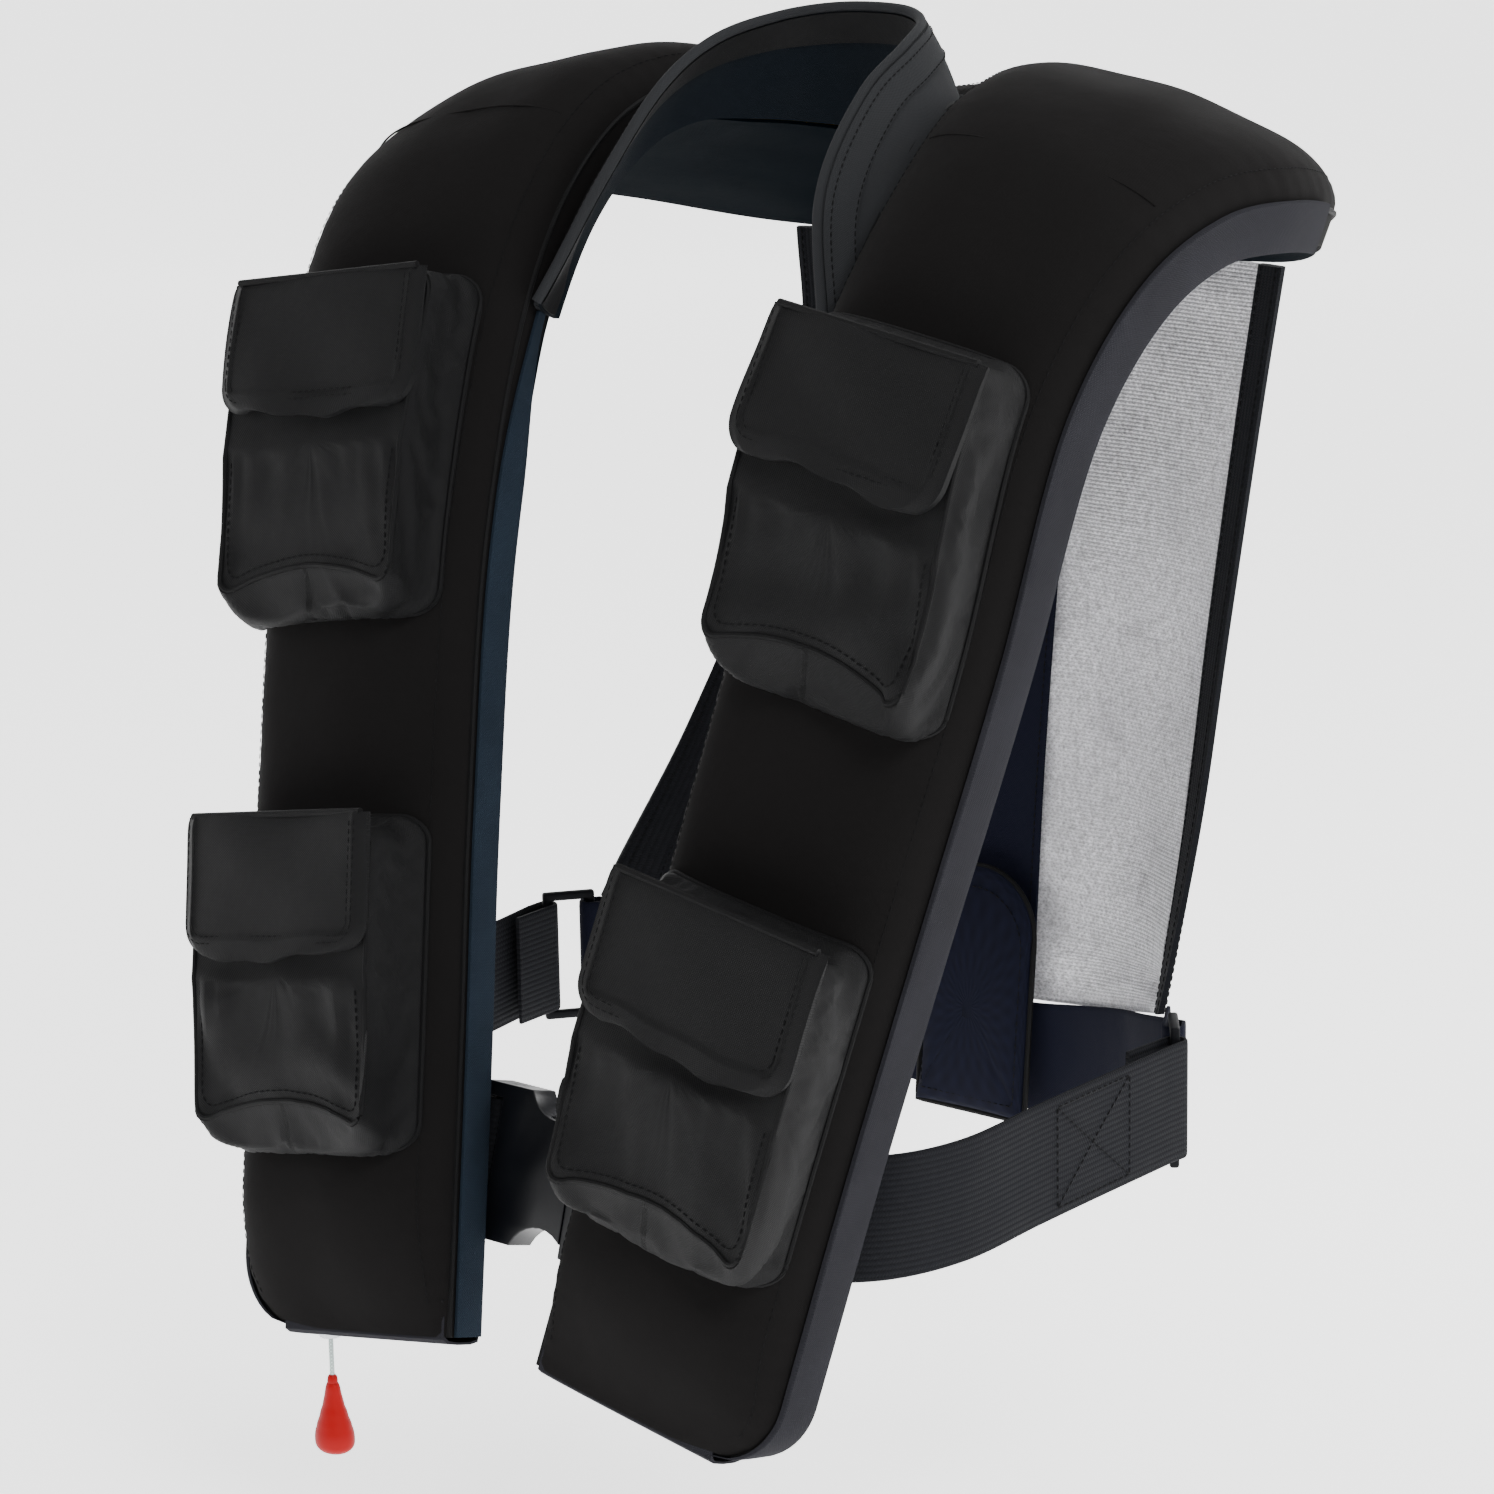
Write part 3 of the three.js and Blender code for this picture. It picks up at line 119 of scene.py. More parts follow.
class Graph:
    """A material's node tree, with short ways to add maths and textures to it."""

    def __init__(self, name):
        self.name = name
        self.material = bpy.data.materials.new(name)
        self.material.use_nodes = True
        self.nodes = self.material.node_tree.nodes
        self.links = self.material.node_tree.links
        self.nodes.clear()
        self.shader = self.nodes.new("ShaderNodeBsdfPrincipled")
        output = self.nodes.new("ShaderNodeOutputMaterial")
        self.links.new(self.shader.outputs[0], output.inputs[0])

    def feed(self, socket, value):
        if isinstance(value, bpy.types.NodeSocket):
            self.links.new(value, socket)
        else:
            socket.default_value = value

    def math(self, operation, a, b=0.0):
        node = self.nodes.new("ShaderNodeMath")
        node.operation = operation
        self.feed(node.inputs[0], a)
        self.feed(node.inputs[1], b)
        return node.outputs[0]

    def noise(self, where, scale, detail=4.0, roughness=0.6):
        node = self.nodes.new("ShaderNodeTexNoise")
        self.feed(node.inputs["Vector"], where)
        node.inputs["Scale"].default_value = scale
        node.inputs["Detail"].default_value = detail
        node.inputs["Roughness"].default_value = roughness
        return node.outputs["Fac"]

    def cloth(self):
        node = self.nodes.new("ShaderNodeUVMap")
        node.uv_map = "cloth"
        split = self.nodes.new("ShaderNodeSeparateXYZ")
        self.links.new(node.outputs[0], split.inputs[0])
        return node.outputs[0], split.outputs[0], split.outputs[1]

    def solid(self):
        return self.nodes.new("ShaderNodeTexCoord").outputs["Object"]

    def wave(self, along, pitch):
        """A wave from 0 to 1 with that pitch in metres."""
        turned = self.math("SINE", self.math("MULTIPLY", along, 2 * math.pi / pitch))
        return self.math("ADD", self.math("MULTIPLY", turned, 0.5), 0.5)

    def mix(self, share, low, high):
        node = self.nodes.new("ShaderNodeMix")
        node.data_type = "RGBA"
        self.feed(node.inputs["Factor"], share)
        self.feed(node.inputs["A"], low)
        self.feed(node.inputs["B"], high)
        return node.outputs["Result"]

    def range(self, value, low, high, to_low, to_high):
        node = self.nodes.new("ShaderNodeMapRange")
        self.feed(node.inputs["Value"], value)
        limits = {"From Min": low, "From Max": high, "To Min": to_low, "To Max": to_high}
        for socket, number in limits.items():
            node.inputs[socket].default_value = number
        return node.outputs["Result"]

    def bump(self, height, distance, strength=1.0, normal=None):
        node = self.nodes.new("ShaderNodeBump")
        self.feed(node.inputs["Height"], height)
        node.inputs["Distance"].default_value = distance
        node.inputs["Strength"].default_value = strength
        if normal is not None:
            self.links.new(normal, node.inputs["Normal"])
        return node.outputs["Normal"]

    def finish(self, color, roughness, normal, **fixed):
        self.feed(self.shader.inputs["Base Color"], color)
        self.feed(self.shader.inputs["Roughness"], roughness)
        self.links.new(normal, self.shader.inputs["Normal"])
        for socket, value in fixed.items():
            self.shader.inputs[socket.replace("_", " ")].default_value = value
        LOOKS[self.name] = self.material


def rgb(red, green, blue):
    """A colour given as it looks on a screen, 0 to 255, as a linear colour."""
    shares = [c / 255 for c in (red, green, blue)]
    return tuple(((c + 0.055) / 1.055) ** 2.4 if c > 10 / 255 else c / 12.92 for c in shares) + (1,)


SHEEN = 0.006                     # faint on black cloth, which a pale room would turn grey


def scaled(color, share):
    return tuple(c * share for c in color[:3]) + (1,)


def woven(name, color, pitch, roughness, depth, contrast, mottle, gloss, lift=1.5):
    """Plain weave of threads that cross over and under each other, with worn, paler patches."""
    g = Graph(name)
    where, u, v = g.cloth()
    warp, weft = g.wave(u, pitch), g.wave(v, pitch)
    over = g.math("MULTIPLY", g.math("SUBTRACT", g.math("MULTIPLY", warp, 2.0), 1.0),
                  g.math("SUBTRACT", g.math("MULTIPLY", weft, 2.0), 1.0))
    weave = g.math("ADD", g.math("MULTIPLY", over, 0.5), 0.5)
    patches = g.range(g.noise(where, 26, 6), 0.3, 0.7, 0, 1)
    fibres = g.noise(where, 2600, 2)
    tone = g.mix(weave, scaled(color, 1 - contrast), scaled(color, 1 + contrast))
    worn = g.mix(g.math("MULTIPLY", patches, mottle), tone, scaled(color, lift))
    shade = g.mix(g.math("MULTIPLY", fibres, 0.35), worn, scaled(color, 0.7))
    normal = g.bump(g.noise(where, 70, 4), 0.0009, 0.35)
    normal = g.bump(g.math("ADD", weave, g.math("MULTIPLY", fibres, 0.5)), depth, 0.9, normal)
    rough = g.range(patches, 0, 1, roughness - 0.06, min(1, roughness + 0.06))
    g.finish(shade, rough, normal, Sheen_Weight=SHEEN, Sheen_Roughness=0.4, Specular_IOR_Level=gloss)


def ribbed(name, color, rib, roughness, cross, depth, contrast, mottle, gloss):
    """Webbing or tape: ribs along its length, with cross threads between them."""
    lift = 1.7
    g = Graph(name)
    where, u, v = g.cloth()
    ribs = g.math("POWER", g.wave(v, rib), 0.6)
    slant = g.math("ADD", u, g.math("MULTIPLY", g.wave(v, rib), cross * 0.5))
    threads = g.wave(slant, cross)
    patches = g.range(g.noise(where, 45, 6), 0.3, 0.7, 0, 1)
    fibres = g.noise(where, 1800, 3)
    height = g.math("ADD", ribs, g.math("MULTIPLY", threads, 0.45))
    tone = g.mix(g.math("MULTIPLY", height, 0.69), scaled(color, 1 - contrast), scaled(color, 1 + contrast))
    worn = g.mix(g.math("MULTIPLY", patches, mottle), tone, scaled(color, lift))
    shade = g.mix(g.math("MULTIPLY", fibres, 0.4), worn, scaled(color, 0.6))
    normal = g.bump(g.noise(where, 90, 3), 0.0006, 0.3)
    normal = g.bump(g.math("ADD", height, g.math("MULTIPLY", fibres, 0.4)), depth, 0.9, normal)
    g.finish(shade, g.range(patches, 0, 1, roughness - 0.05, roughness + 0.05), normal,
             Sheen_Weight=SHEEN, Sheen_Roughness=0.5, Specular_IOR_Level=gloss)


def knitted_mesh(name, color, pitch):
    """Open spacer mesh: rows of small eyelets between knitted ribs, with painted crease shade: dark streaks
    down the panel and dark crumples painted into its colour where folds would be in shade.
    """
    g = Graph(name)
    where, u, v = g.cloth()
    column = g.wave(u, pitch)
    stagger = g.math("ADD", v, g.math("MULTIPLY", g.wave(u, 2 * pitch), pitch))
    eyelet = g.math("MULTIPLY", column, g.wave(stagger, 1.6 * pitch))
    hole = g.range(eyelet, 0.55, 0.8, 0, 1)
    speckle = g.range(g.noise(where, 420, 3, 0.7), 0.35, 0.68, 0, 1)
    cloud = g.range(g.noise(where, 14, 6, 0.75), 0.42, 0.62, 0, 1)
    tone = g.mix(speckle, scaled(color, 0.7), scaled(color, 1.22))
    tone = g.mix(g.math("MULTIPLY", cloud, 0.45), tone, scaled(color, 0.6))
    # Painted crease shade: dark streaks, stretched down the panel, painted into the colour where its folds
    # would be in shade.
    crease_shade_stretch = g.nodes.new("ShaderNodeMapping")
    crease_shade_stretch.inputs["Scale"].default_value = (1, 1, 0.12)
    g.links.new(where, crease_shade_stretch.inputs["Vector"])
    painted_crease_shade = g.range(g.noise(crease_shade_stretch.outputs[0], 260, 5, 0.8), 0.5, 0.66, 0, 0.75)
    tone = g.mix(painted_crease_shade, tone, scaled(color, 0.35))
    # Painted shade of crumples: dark blotches painted into the colour.
    painted_crumple_shade = g.range(g.noise(where, 34, 7, 0.8), 0.54, 0.7, 0, 0.6)
    tone = g.mix(painted_crumple_shade, tone, scaled(color, 0.3))
    shade = g.mix(g.math("MULTIPLY", hole, 0.55), tone, scaled(color, 0.3))
    height = g.math("SUBTRACT", g.math("ADD", column, g.math("MULTIPLY", speckle, 0.5)), hole)
    normal = g.bump(g.noise(where, 40, 3), 0.0012, 0.3)
    normal = g.bump(height, 0.00035, 0.8, normal)
    g.finish(shade, g.range(speckle, 0, 1, 0.62, 0.82), normal,
             Sheen_Weight=0.15, Sheen_Roughness=0.5)


def napped(name, color, scale):
    """Hook-and-loop tape: a dense pile."""
    g = Graph(name)
    where = g.solid()
    pile = g.noise(where, scale, 5, 0.75)
    shade = g.mix(g.range(pile, 0.35, 0.65, 0, 1), scaled(color, 0.5), scaled(color, 1.8))
    g.finish(shade, g.range(pile, 0.3, 0.7, 0.85, 1.0), g.bump(pile, 0.0006, 0.9),
             Sheen_Weight=SHEEN, Specular_IOR_Level=0.1)


def moulded(name, color, roughness, coat=0.0, wear=0.2, lift=1.6, gloss=0.4):
    """Moulded plastic or metal with a fine grain, handling marks and slightly worn patches."""
    g = Graph(name)
    where = g.solid()
    patches = g.range(g.noise(where, 60, 6), 0.3, 0.7, 0, 1)
    grain = g.noise(where, 900, 3)
    scuffs = g.range(g.noise(where, 260, 8, 0.8), 0.62, 0.72, 0, 1)
    tone = g.mix(g.math("MULTIPLY", patches, wear), color, scaled(color, lift))
    shade = g.mix(g.math("MULTIPLY", scuffs, wear), tone, scaled(color, lift * 1.4))
    rough = g.math("ADD", g.range(patches, 0, 1, roughness - 0.06, roughness + 0.08),
                   g.math("MULTIPLY", scuffs, 0.12))
    g.finish(shade, rough, g.bump(grain, 0.00008, 0.5), Coat_Weight=coat,
             Coat_Roughness=0.15, Specular_IOR_Level=gloss)


def brushed(name, color, roughness):
    """Metal with fine lines from brushing."""
    g = Graph(name)
    where = g.solid()
    stretch = g.nodes.new("ShaderNodeMapping")
    stretch.inputs["Scale"].default_value = (1, 1, 0.04)
    g.links.new(where, stretch.inputs["Vector"])
    lines = g.noise(stretch.outputs[0], 2400, 3)
    marks = g.range(g.noise(where, 90, 5), 0.35, 0.7, 0, 1)
    shade = g.mix(g.math("MULTIPLY", marks, 0.25), color, scaled(color, 0.75))
    g.finish(shade, g.range(lines, 0.3, 0.7, roughness - 0.08, roughness + 0.12),
             g.bump(lines, 0.00003, 0.5), Metallic=1.0)


def braided(name, color):
    """A round braid: two sets of strands that cross."""
    g = Graph(name)
    split = g.nodes.new("ShaderNodeSeparateXYZ")
    g.links.new(g.solid(), split.inputs[0])
    slant = g.math("MULTIPLY", split.outputs[0], 1.2)
    lay, other = (g.wave(g.math(way, split.outputs[2], slant), 0.0016) for way in ("ADD", "SUBTRACT"))
    height = g.math("MULTIPLY", lay, other)
    shade = g.mix(height, scaled(color, 0.6), scaled(color, 1.1))
    g.finish(shade, g.range(height, 0, 1, 0.75, 0.6), g.bump(height, 0.0002, 0.8),
             Sheen_Weight=0.2)


# Woven cloth also takes its threads' pitch, roughness, depth, contrast, mottle, gloss and how pale it wears.
woven("cover_fabric", rgb(19, 18, 18), 0.0007, 0.88, 0.00006, 0.14, 0.25, 0.05, 1.3)
woven("lining", rgb(3, 8, 13), 0.0009, 0.95, 0.00008, 0.25, 0.3, 0.02)
woven("edge_tape", rgb(33, 33, 37), 0.0012, 0.9, 0.00025, 0.4, 0.9, 0.06)
woven("inner_tape", rgb(26, 34, 43), 0.0012, 0.9, 0.00025, 0.4, 0.9, 0.06)
woven("collar_fabric", rgb(37, 38, 40), 0.0010, 0.85, 0.00012, 0.25, 0.4, 0.1, 1.35)
woven("pocket_fabric", rgb(11, 11, 12), 0.0011, 0.62, 0.00014, 0.35, 0.5, 0.14, 1.6)
woven("navy_fabric", rgb(12, 14, 28), 0.0012, 0.85, 0.00014, 0.3, 0.3, 0.1)
woven("piping", rgb(6, 6, 7), 0.0009, 0.7, 0.0001, 0.3, 0.2, 0.15)
woven("collar_inside", rgb(6, 12, 18), 0.0011, 0.85, 0.00012, 0.3, 0.3, 0.1)
woven("bladder_fabric", rgb(238, 190, 30), 0.0009, 0.5, 0.00005, 0.08, 0.2, 0.1, 1.1)
knitted_mesh("back_mesh", rgb(222, 221, 226), 0.0017)
ribbed("webbing", rgb(17, 18, 22), 0.0024, 0.82, 0.0012, 0.0003, 0.35, 0.3, 0.15)
moulded("thread", rgb(14, 14, 15), 0.8, gloss=0.1)
moulded("black_plastic", rgb(9, 10, 14), 0.34, coat=0.05, gloss=0.35)
moulded("red_plastic", rgb(150, 0, 3), 0.45, wear=0.06, lift=1.1, gloss=0.15)
moulded("ring_metal", rgb(8, 9, 13), 0.6, gloss=0.12)
moulded("whistle_plastic", rgb(236, 186, 28), 0.4, wear=0.1, lift=1.1)
brushed("steel", (0.55, 0.56, 0.58, 1), 0.3)
napped("hook_and_loop", rgb(16, 16, 17), 1600)
braided("cord", rgb(205, 222, 218))


# ---------------------------------------------------------------- meshes
def unit(vectors):
    return vectors / np.maximum(np.linalg.norm(vectors, axis=-1, keepdims=True), 1e-9)


def mesh_object(name, points, faces, look, body="root", stands_for=(), slot=None, cloth=None, sharp=35):
    """A piece from points in millimetres on a body; cloth gives each point its place on the flat cloth."""
    data = bpy.data.meshes.new(name)
    data.from_pydata([tuple(p) for p in np.asarray(points, float) * MM], [], faces)
    data.validate()
    obj = linked(name, data)
    if cloth is not None:
        lay_cloth(obj, np.asarray(cloth) * MM)
    return finish_piece(obj, look, body, stands_for, sharp)


def lay_cloth(obj, places):
    layer = obj.data.uv_layers.new(name="cloth")
    corners = np.zeros(len(obj.data.loops), int)
    obj.data.loops.foreach_get("vertex_index", corners)
    layer.data.foreach_set("uv", places[corners].astype(np.float32).ravel())


def face_outward(obj):
    shape = bmesh.new()
    shape.from_mesh(obj.data)
    bmesh.ops.recalc_face_normals(shape, faces=shape.faces)
    shape.to_mesh(obj.data)
    shape.free()


def finish_piece(obj, look, body, stands_for=(), sharp=35):
    face_outward(obj)
    obj.data.shade_smooth()
    obj.data.set_sharp_from_angle(angle=math.radians(sharp))
    obj.data.materials.clear()
    obj.data.materials.append(LOOKS[look])
    if body is not None:
        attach(obj, body)
    if stands_for:
        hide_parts(*stands_for)
    return obj


def spans(points):
    """Distance along each row of points from its start."""
    steps = np.linalg.norm(np.diff(points, axis=-2), axis=-1)
    return np.concatenate([np.zeros(steps.shape[:-1] + (1,)), np.cumsum(steps, axis=-1)], axis=-1)


def grid_faces(rows, columns, start=0, loop_rows=False, loop_columns=False):
    faces = []
    for r in range(rows if loop_rows else rows - 1):
        for c in range(columns if loop_columns else columns - 1):
            a, b = (r + 1) % rows, (c + 1) % columns
            corners = (r * columns + c, r * columns + b, a * columns + b, a * columns + c)
            faces.append(tuple(start + i for i in corners))
    return faces


def sheet_mesh(name, outer, inner, look, **kinds):
    """A closed sheet between two grids of one size; its cloth's u runs down the rows and v across them."""
    rows, columns = outer.shape[:2]
    count = rows * columns
    faces = grid_faces(rows, columns)
    faces += [tuple(count + i for i in reversed(face)) for face in faces]
    rim = [r * columns for r in range(rows)] + [(rows - 1) * columns + c for c in range(1, columns)]
    rim += [r * columns + columns - 1 for r in range(rows - 2, -1, -1)] + list(range(columns - 2, 0, -1))
    faces += [(a, b, b + count, a + count) for a, b in zip(rim, rim[1:] + rim[:1])]
    u = np.repeat(spans(outer[:, columns // 2][None])[0][:, None], columns, 1)
    v = np.repeat(spans(outer[rows // 2][None]), rows, 0)
    cloth = np.stack([u, v], -1).reshape(-1, 2)
    points = np.concatenate([outer.reshape(-1, 3), inner.reshape(-1, 3)])
    return mesh_object(name, points, faces, look, cloth=np.concatenate([cloth, cloth]), **kinds)


def tube_rings(path, radius, sides, closed=False):
    """Rings of points round a path, each ring square to it."""
    path = np.asarray(path, float)
    if closed:
        tangent = unit(np.roll(path, -1, 0) - np.roll(path, 1, 0))
    else:
        tangent = unit(np.gradient(path, axis=0))
    first = unit(np.cross(tangent, np.array([0.3, 0.2, 0.93])))
    second = np.cross(tangent, first)
    angle = np.arange(sides) * 2 * math.pi / sides
    reach = np.broadcast_to(np.asarray(radius, float).reshape(-1, 1, 1), (len(path), 1, 1))
    return path[:, None] + reach * (np.cos(angle)[None, :, None] * first[:, None]
                                    + np.sin(angle)[None, :, None] * second[:, None])


def ring_mesh(name, rings, look, closed=False, **kinds):
    """A tube through rings, closed in a loop or ended with caps."""
    count, sides = rings.shape[:2]
    faces = grid_faces(count, sides, loop_rows=closed, loop_columns=True)
    if not closed:
        faces += [tuple(range(sides - 1, -1, -1)), tuple((count - 1) * sides + i for i in range(sides))]
    u = np.repeat(spans(rings.mean(1)[None])[0][:, None], sides, 1)
    v = np.repeat(spans(rings[0][None]), count, 0)
    return mesh_object(name, rings.reshape(-1, 3), faces, look,
                       cloth=np.stack([u, v], -1).reshape(-1, 2), **kinds)


def tube(name, path, radius, look, sides=10, closed=False, **kinds):
    return ring_mesh(name, tube_rings(path, radius, sides, closed), look, closed, **kinds)


def resample(path, spacing, closed=False):
    path = np.asarray(path, float)
    if closed:
        path = np.vstack([path, path[:1]])
    along = spans(path[None])[0]
    count = max(2, int(round(along[-1] / spacing)))
    want = np.linspace(0, along[-1], count + 1)
    return np.stack([np.interp(want, along, path[:, i]) for i in range(3)], -1)


STITCH_PITCH, STITCH_LENGTH = 3.4, 2.3


def stitches(name, paths, body="root", radius=0.28, slot="webbing"):
    """Lock stitches along paths: one short rounded thread after another, all in one piece."""
    rings = []
    for path in paths:
        track = resample(path, STITCH_PITCH)
        starts, ends = track[:-1], track[1:]
        middle, run = (starts + ends) / 2, unit(ends - starts)
        side = unit(np.cross(run, np.array([0.21, 0.35, 0.91])))
        lift = np.cross(run, side)
        for m, d, a, b in zip(middle, run, side, lift):
            for place, reach in ((-0.5, 0.35), (-0.3, 1), (0.3, 1), (0.5, 0.35)):
                angle = np.arange(5) * 2 * math.pi / 5
                rings.append(m + d * place * STITCH_LENGTH + radius * reach * (
                    np.cos(angle)[:, None] * a + np.sin(angle)[:, None] * b))
    points = np.array(rings)
    faces = []
    for s in range(0, len(points), 4):
        faces += grid_faces(4, 5, 5 * s, loop_columns=True)
        faces += [tuple(5 * s + i for i in range(4, -1, -1)), tuple(5 * (s + 3) + i for i in range(5))]
    return mesh_object(name, points.reshape(-1, 3), faces, "thread", body=body, slot=slot)


def spline(points):
    """A centripetal Catmull-Rom curve, as a function of 0 to 1."""
    points = np.array(points, float)
    padded = np.vstack([2 * points[0] - points[1], points, 2 * points[-1] - points[-2]])
    gaps = np.maximum(np.linalg.norm(np.diff(padded, axis=0), axis=1), 1e-9) ** 0.5

    def at(t):
        place = np.clip(np.asarray(t, float), 0, 1) * (len(points) - 1)
        i = np.minimum(place.astype(int), len(points) - 2)
        w = (place - i)[..., None]
        p0, p1, p2, p3 = (padded[i + n] for n in range(4))
        d0, d1, d2 = (gaps[i + n][..., None] for n in range(3))
        m1 = ((p1 - p0) / d0 - (p2 - p0) / (d0 + d1) + (p2 - p1) / d1) * d1
        m2 = ((p2 - p1) / d1 - (p3 - p1) / (d1 + d2) + (p3 - p2) / d2) * d1
        return p1 + m1 * w + (3 * (p2 - p1) - 2 * m1 - m2) * w ** 2 + (2 * (p1 - p2) + m1 + m2) * w ** 3
    return at


def smoothstep(x, low, high):
    t = np.clip((np.asarray(x, float) - low) / (high - low), 0, 1)
    return t * t * (3 - 2 * t)


def ripple(shape, waves, seed):
    """Soft random folds over a grid whose rows and columns are given as arrays, from a few long waves."""
    rows, columns = shape
    random = np.random.default_rng(seed)
    total = np.zeros(np.broadcast(rows, columns).shape)
    for _ in range(waves):
        angle = random.uniform(-0.5, 0.5) * math.pi
        pitch = random.uniform(38, 120)
        phase = random.uniform(0, 2 * math.pi)
        total += np.sin((rows * math.cos(angle) + columns * math.sin(angle)) * 2 * math.pi / pitch + phase)
    return total / math.sqrt(waves)


# ---------------------------------------------------------------- the horseshoe
NECK_SIDE = 80.0
LOBE_WIDTH = 117.0
CORNER_RADIUS = 30.0
CROWN, HEM_CROWN, YOKE_CROWN = 34.0, 10.0, 24.0
EDGE_HEIGHT, EDGE_DROP = 8.0, 6.0
BACK, LAST, SHOULDER = 10, 20, 5.5
COLLAR_TIP = 4
SIDE = unit(np.array([LOBE_WIDTH - 3, 0, -20.0]))

INNER = np.array([
    (24, -190, -503), (40, -162, -400.4), (57, -134, -299.9), (72, -103, -195.2),
    (NECK_SIDE + 1, -66, -105.9), (NECK_SIDE + 4, -34, -62), (NECK_SIDE, -4, -36), (NECK_SIDE - 6, 24, -27),
    (NECK_SIDE - 20, 50, -28), (NECK_SIDE - 46, 68, -31), (0, 76, -34)], float)
WIDER = (0, 0, 0, 2, 5, 9, 14, 18, 14)
SHIFT = ((0, 0, 0),) * 4 + ((0, -8, 4), (0, -6, 2), (0, 8, -6), (0, 30, -14), (-2, 62, -24))
OUTER = np.vstack([
    [INNER[i] + SIDE * (LOBE_WIDTH + WIDER[i]) + SHIFT[i] for i in range(9)],
    [(NECK_SIDE + 56, 158, -88), (0, 176, -92)]])
MIRROR = np.array([-1, 1, 1.0])


def both_sides(line):
    return spline(np.vstack([line, line[-2::-1] * MIRROR]))


inner_at, outer_at = both_sides(INNER), both_sides(OUTER)


class Stations:
    """Frames along the horseshoe, from k = 0 at the left hem to LAST at the right hem."""

    def __init__(self, k):
        self.k = k = np.asarray(k, float)
        self.inner = inner_at(k / LAST)
        outer = outer_at(k / LAST)

        def middle(q):
            return (inner_at(q / LAST) + outer_at(q / LAST)) / 2
        self.along = unit(middle(np.minimum(LAST, k + 0.02)) - middle(np.maximum(0, k - 0.02)))
        self.width = np.linalg.norm(outer - self.inner, axis=-1)
        self.across = unit(outer - self.inner)
        self.out = unit(np.cross(self.across, self.along))

    def place(self, w, h):
        """Points at w across from the inner edge and h out from the wearer; one row for each station."""
        return (self.inner[:, None] + self.across[:, None] * np.asarray(w)[..., None]
                + self.out[:, None] * np.asarray(h)[..., None])


def from_hem(k):
    return np.minimum(k, LAST - k)


TABLE_K = np.linspace(0, BACK, 20 * BACK + 1)
_table = Stations(TABLE_K)
TABLE_S = spans(_table.place((_table.width / 2)[:, None], np.zeros((len(TABLE_K), 1)))[:, 0][None])[0]


def station_at(s):
    return np.interp(s, TABLE_S, TABLE_K)


def length_at(k):
    return np.interp(from_hem(k), TABLE_K, TABLE_S)


def crown_at(k):
    near_hem = smoothstep(from_hem(k), -0.15, 0.55)
    near_back = smoothstep(from_hem(k), 7.5, BACK)
    return HEM_CROWN + (CROWN - HEM_CROWN) * near_hem - (CROWN - YOKE_CROWN) * near_back


def width_at(k, width):
    left = np.clip(CORNER_RADIUS - length_at(k), 0, CORNER_RADIUS)
    return width - CORNER_RADIUS + np.sqrt(CORNER_RADIUS ** 2 - left ** 2)


def arch(t):
    return np.sqrt(np.maximum(0, 1 - np.abs(2 * t - 1) ** 3))


def cover_height(k, w, width):
    t = np.clip(w / width, 0, 1)
    return EDGE_HEIGHT + (crown_at(k) - EDGE_HEIGHT) * arch(t)


def side_station(part, s):
    k = station_at(s)
    return k if part == "left" else LAST - k


# ---------------------------------------------------------------- pull cord and knob
def make_pull():
    low, high = box_mm("pull_cord")
    x, y = (low[:2] + high[:2]) / 2
    data = bpy.data.curves.new("pull_cord_braid", "CURVE")
    data.dimensions = "3D"
    data.bevel_depth = 1.0 * MM
    data.bevel_resolution = 3
    route = [(x, y, z) for z in np.linspace(high[2], low[2], 16)]
    line = data.splines.new("POLY")
    line.points.add(len(route) - 1)
    for point, place in zip(line.points, route):
        point.co = (*(np.array(place) * MM), 1)
    cord = linked("pull_cord_braid", data)
    data.materials.append(LOOKS["cord"])
    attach(cord, "pull")
    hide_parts("pull_cord")

    top, foot = box_mm("pull_knob")[1][2], box_mm("pull_knob")[0][2]
    length, radius = top - foot, 9.0
    profile = spline([(0.0, 0.0), (2.3, 0.2), (3.1, 1.6), (3.9, 5.5), (5.4, 11), (7.2, 16.5), (8.6, 21.5),
                      (radius, 25), (8.5, 28), (6.2, 30.2), (3.0, 30.9), (0.0, 31.0)])
    outline = profile(np.linspace(0, 1, 44))
    outline = np.stack([np.maximum(outline[:, 0], 0), outline[:, 1] * length / 31], -1)[1:-1]
    angle = np.linspace(0, 2 * math.pi, 48, endpoint=False)
    rings = []
    for r, down in outline:
        grip = 1 - 0.035 * (0.5 + 0.5 * math.cos(down / length * 2 * math.pi * 6)) * (6 < down < 20)
        flat = np.stack([r * grip * np.cos(angle), 0.86 * r * grip * np.sin(angle)], -1)
        rings.append(np.column_stack([x + flat[:, 0], y + flat[:, 1], np.full(48, top - down)]))
    knob = ring_mesh("pull_knob_grip", np.array(rings), "red_plastic", body="pull", stands_for=["pull_knob"])
    neck = [(x, y, top + rise) for rise in (3.2, 2.4, 0.6, -0.6)]
    collar = tube("pull_knob_ferrule", neck, [1.3, 2.0, 2.3, 2.2], "red_plastic", 16, body="pull")


make_pull()


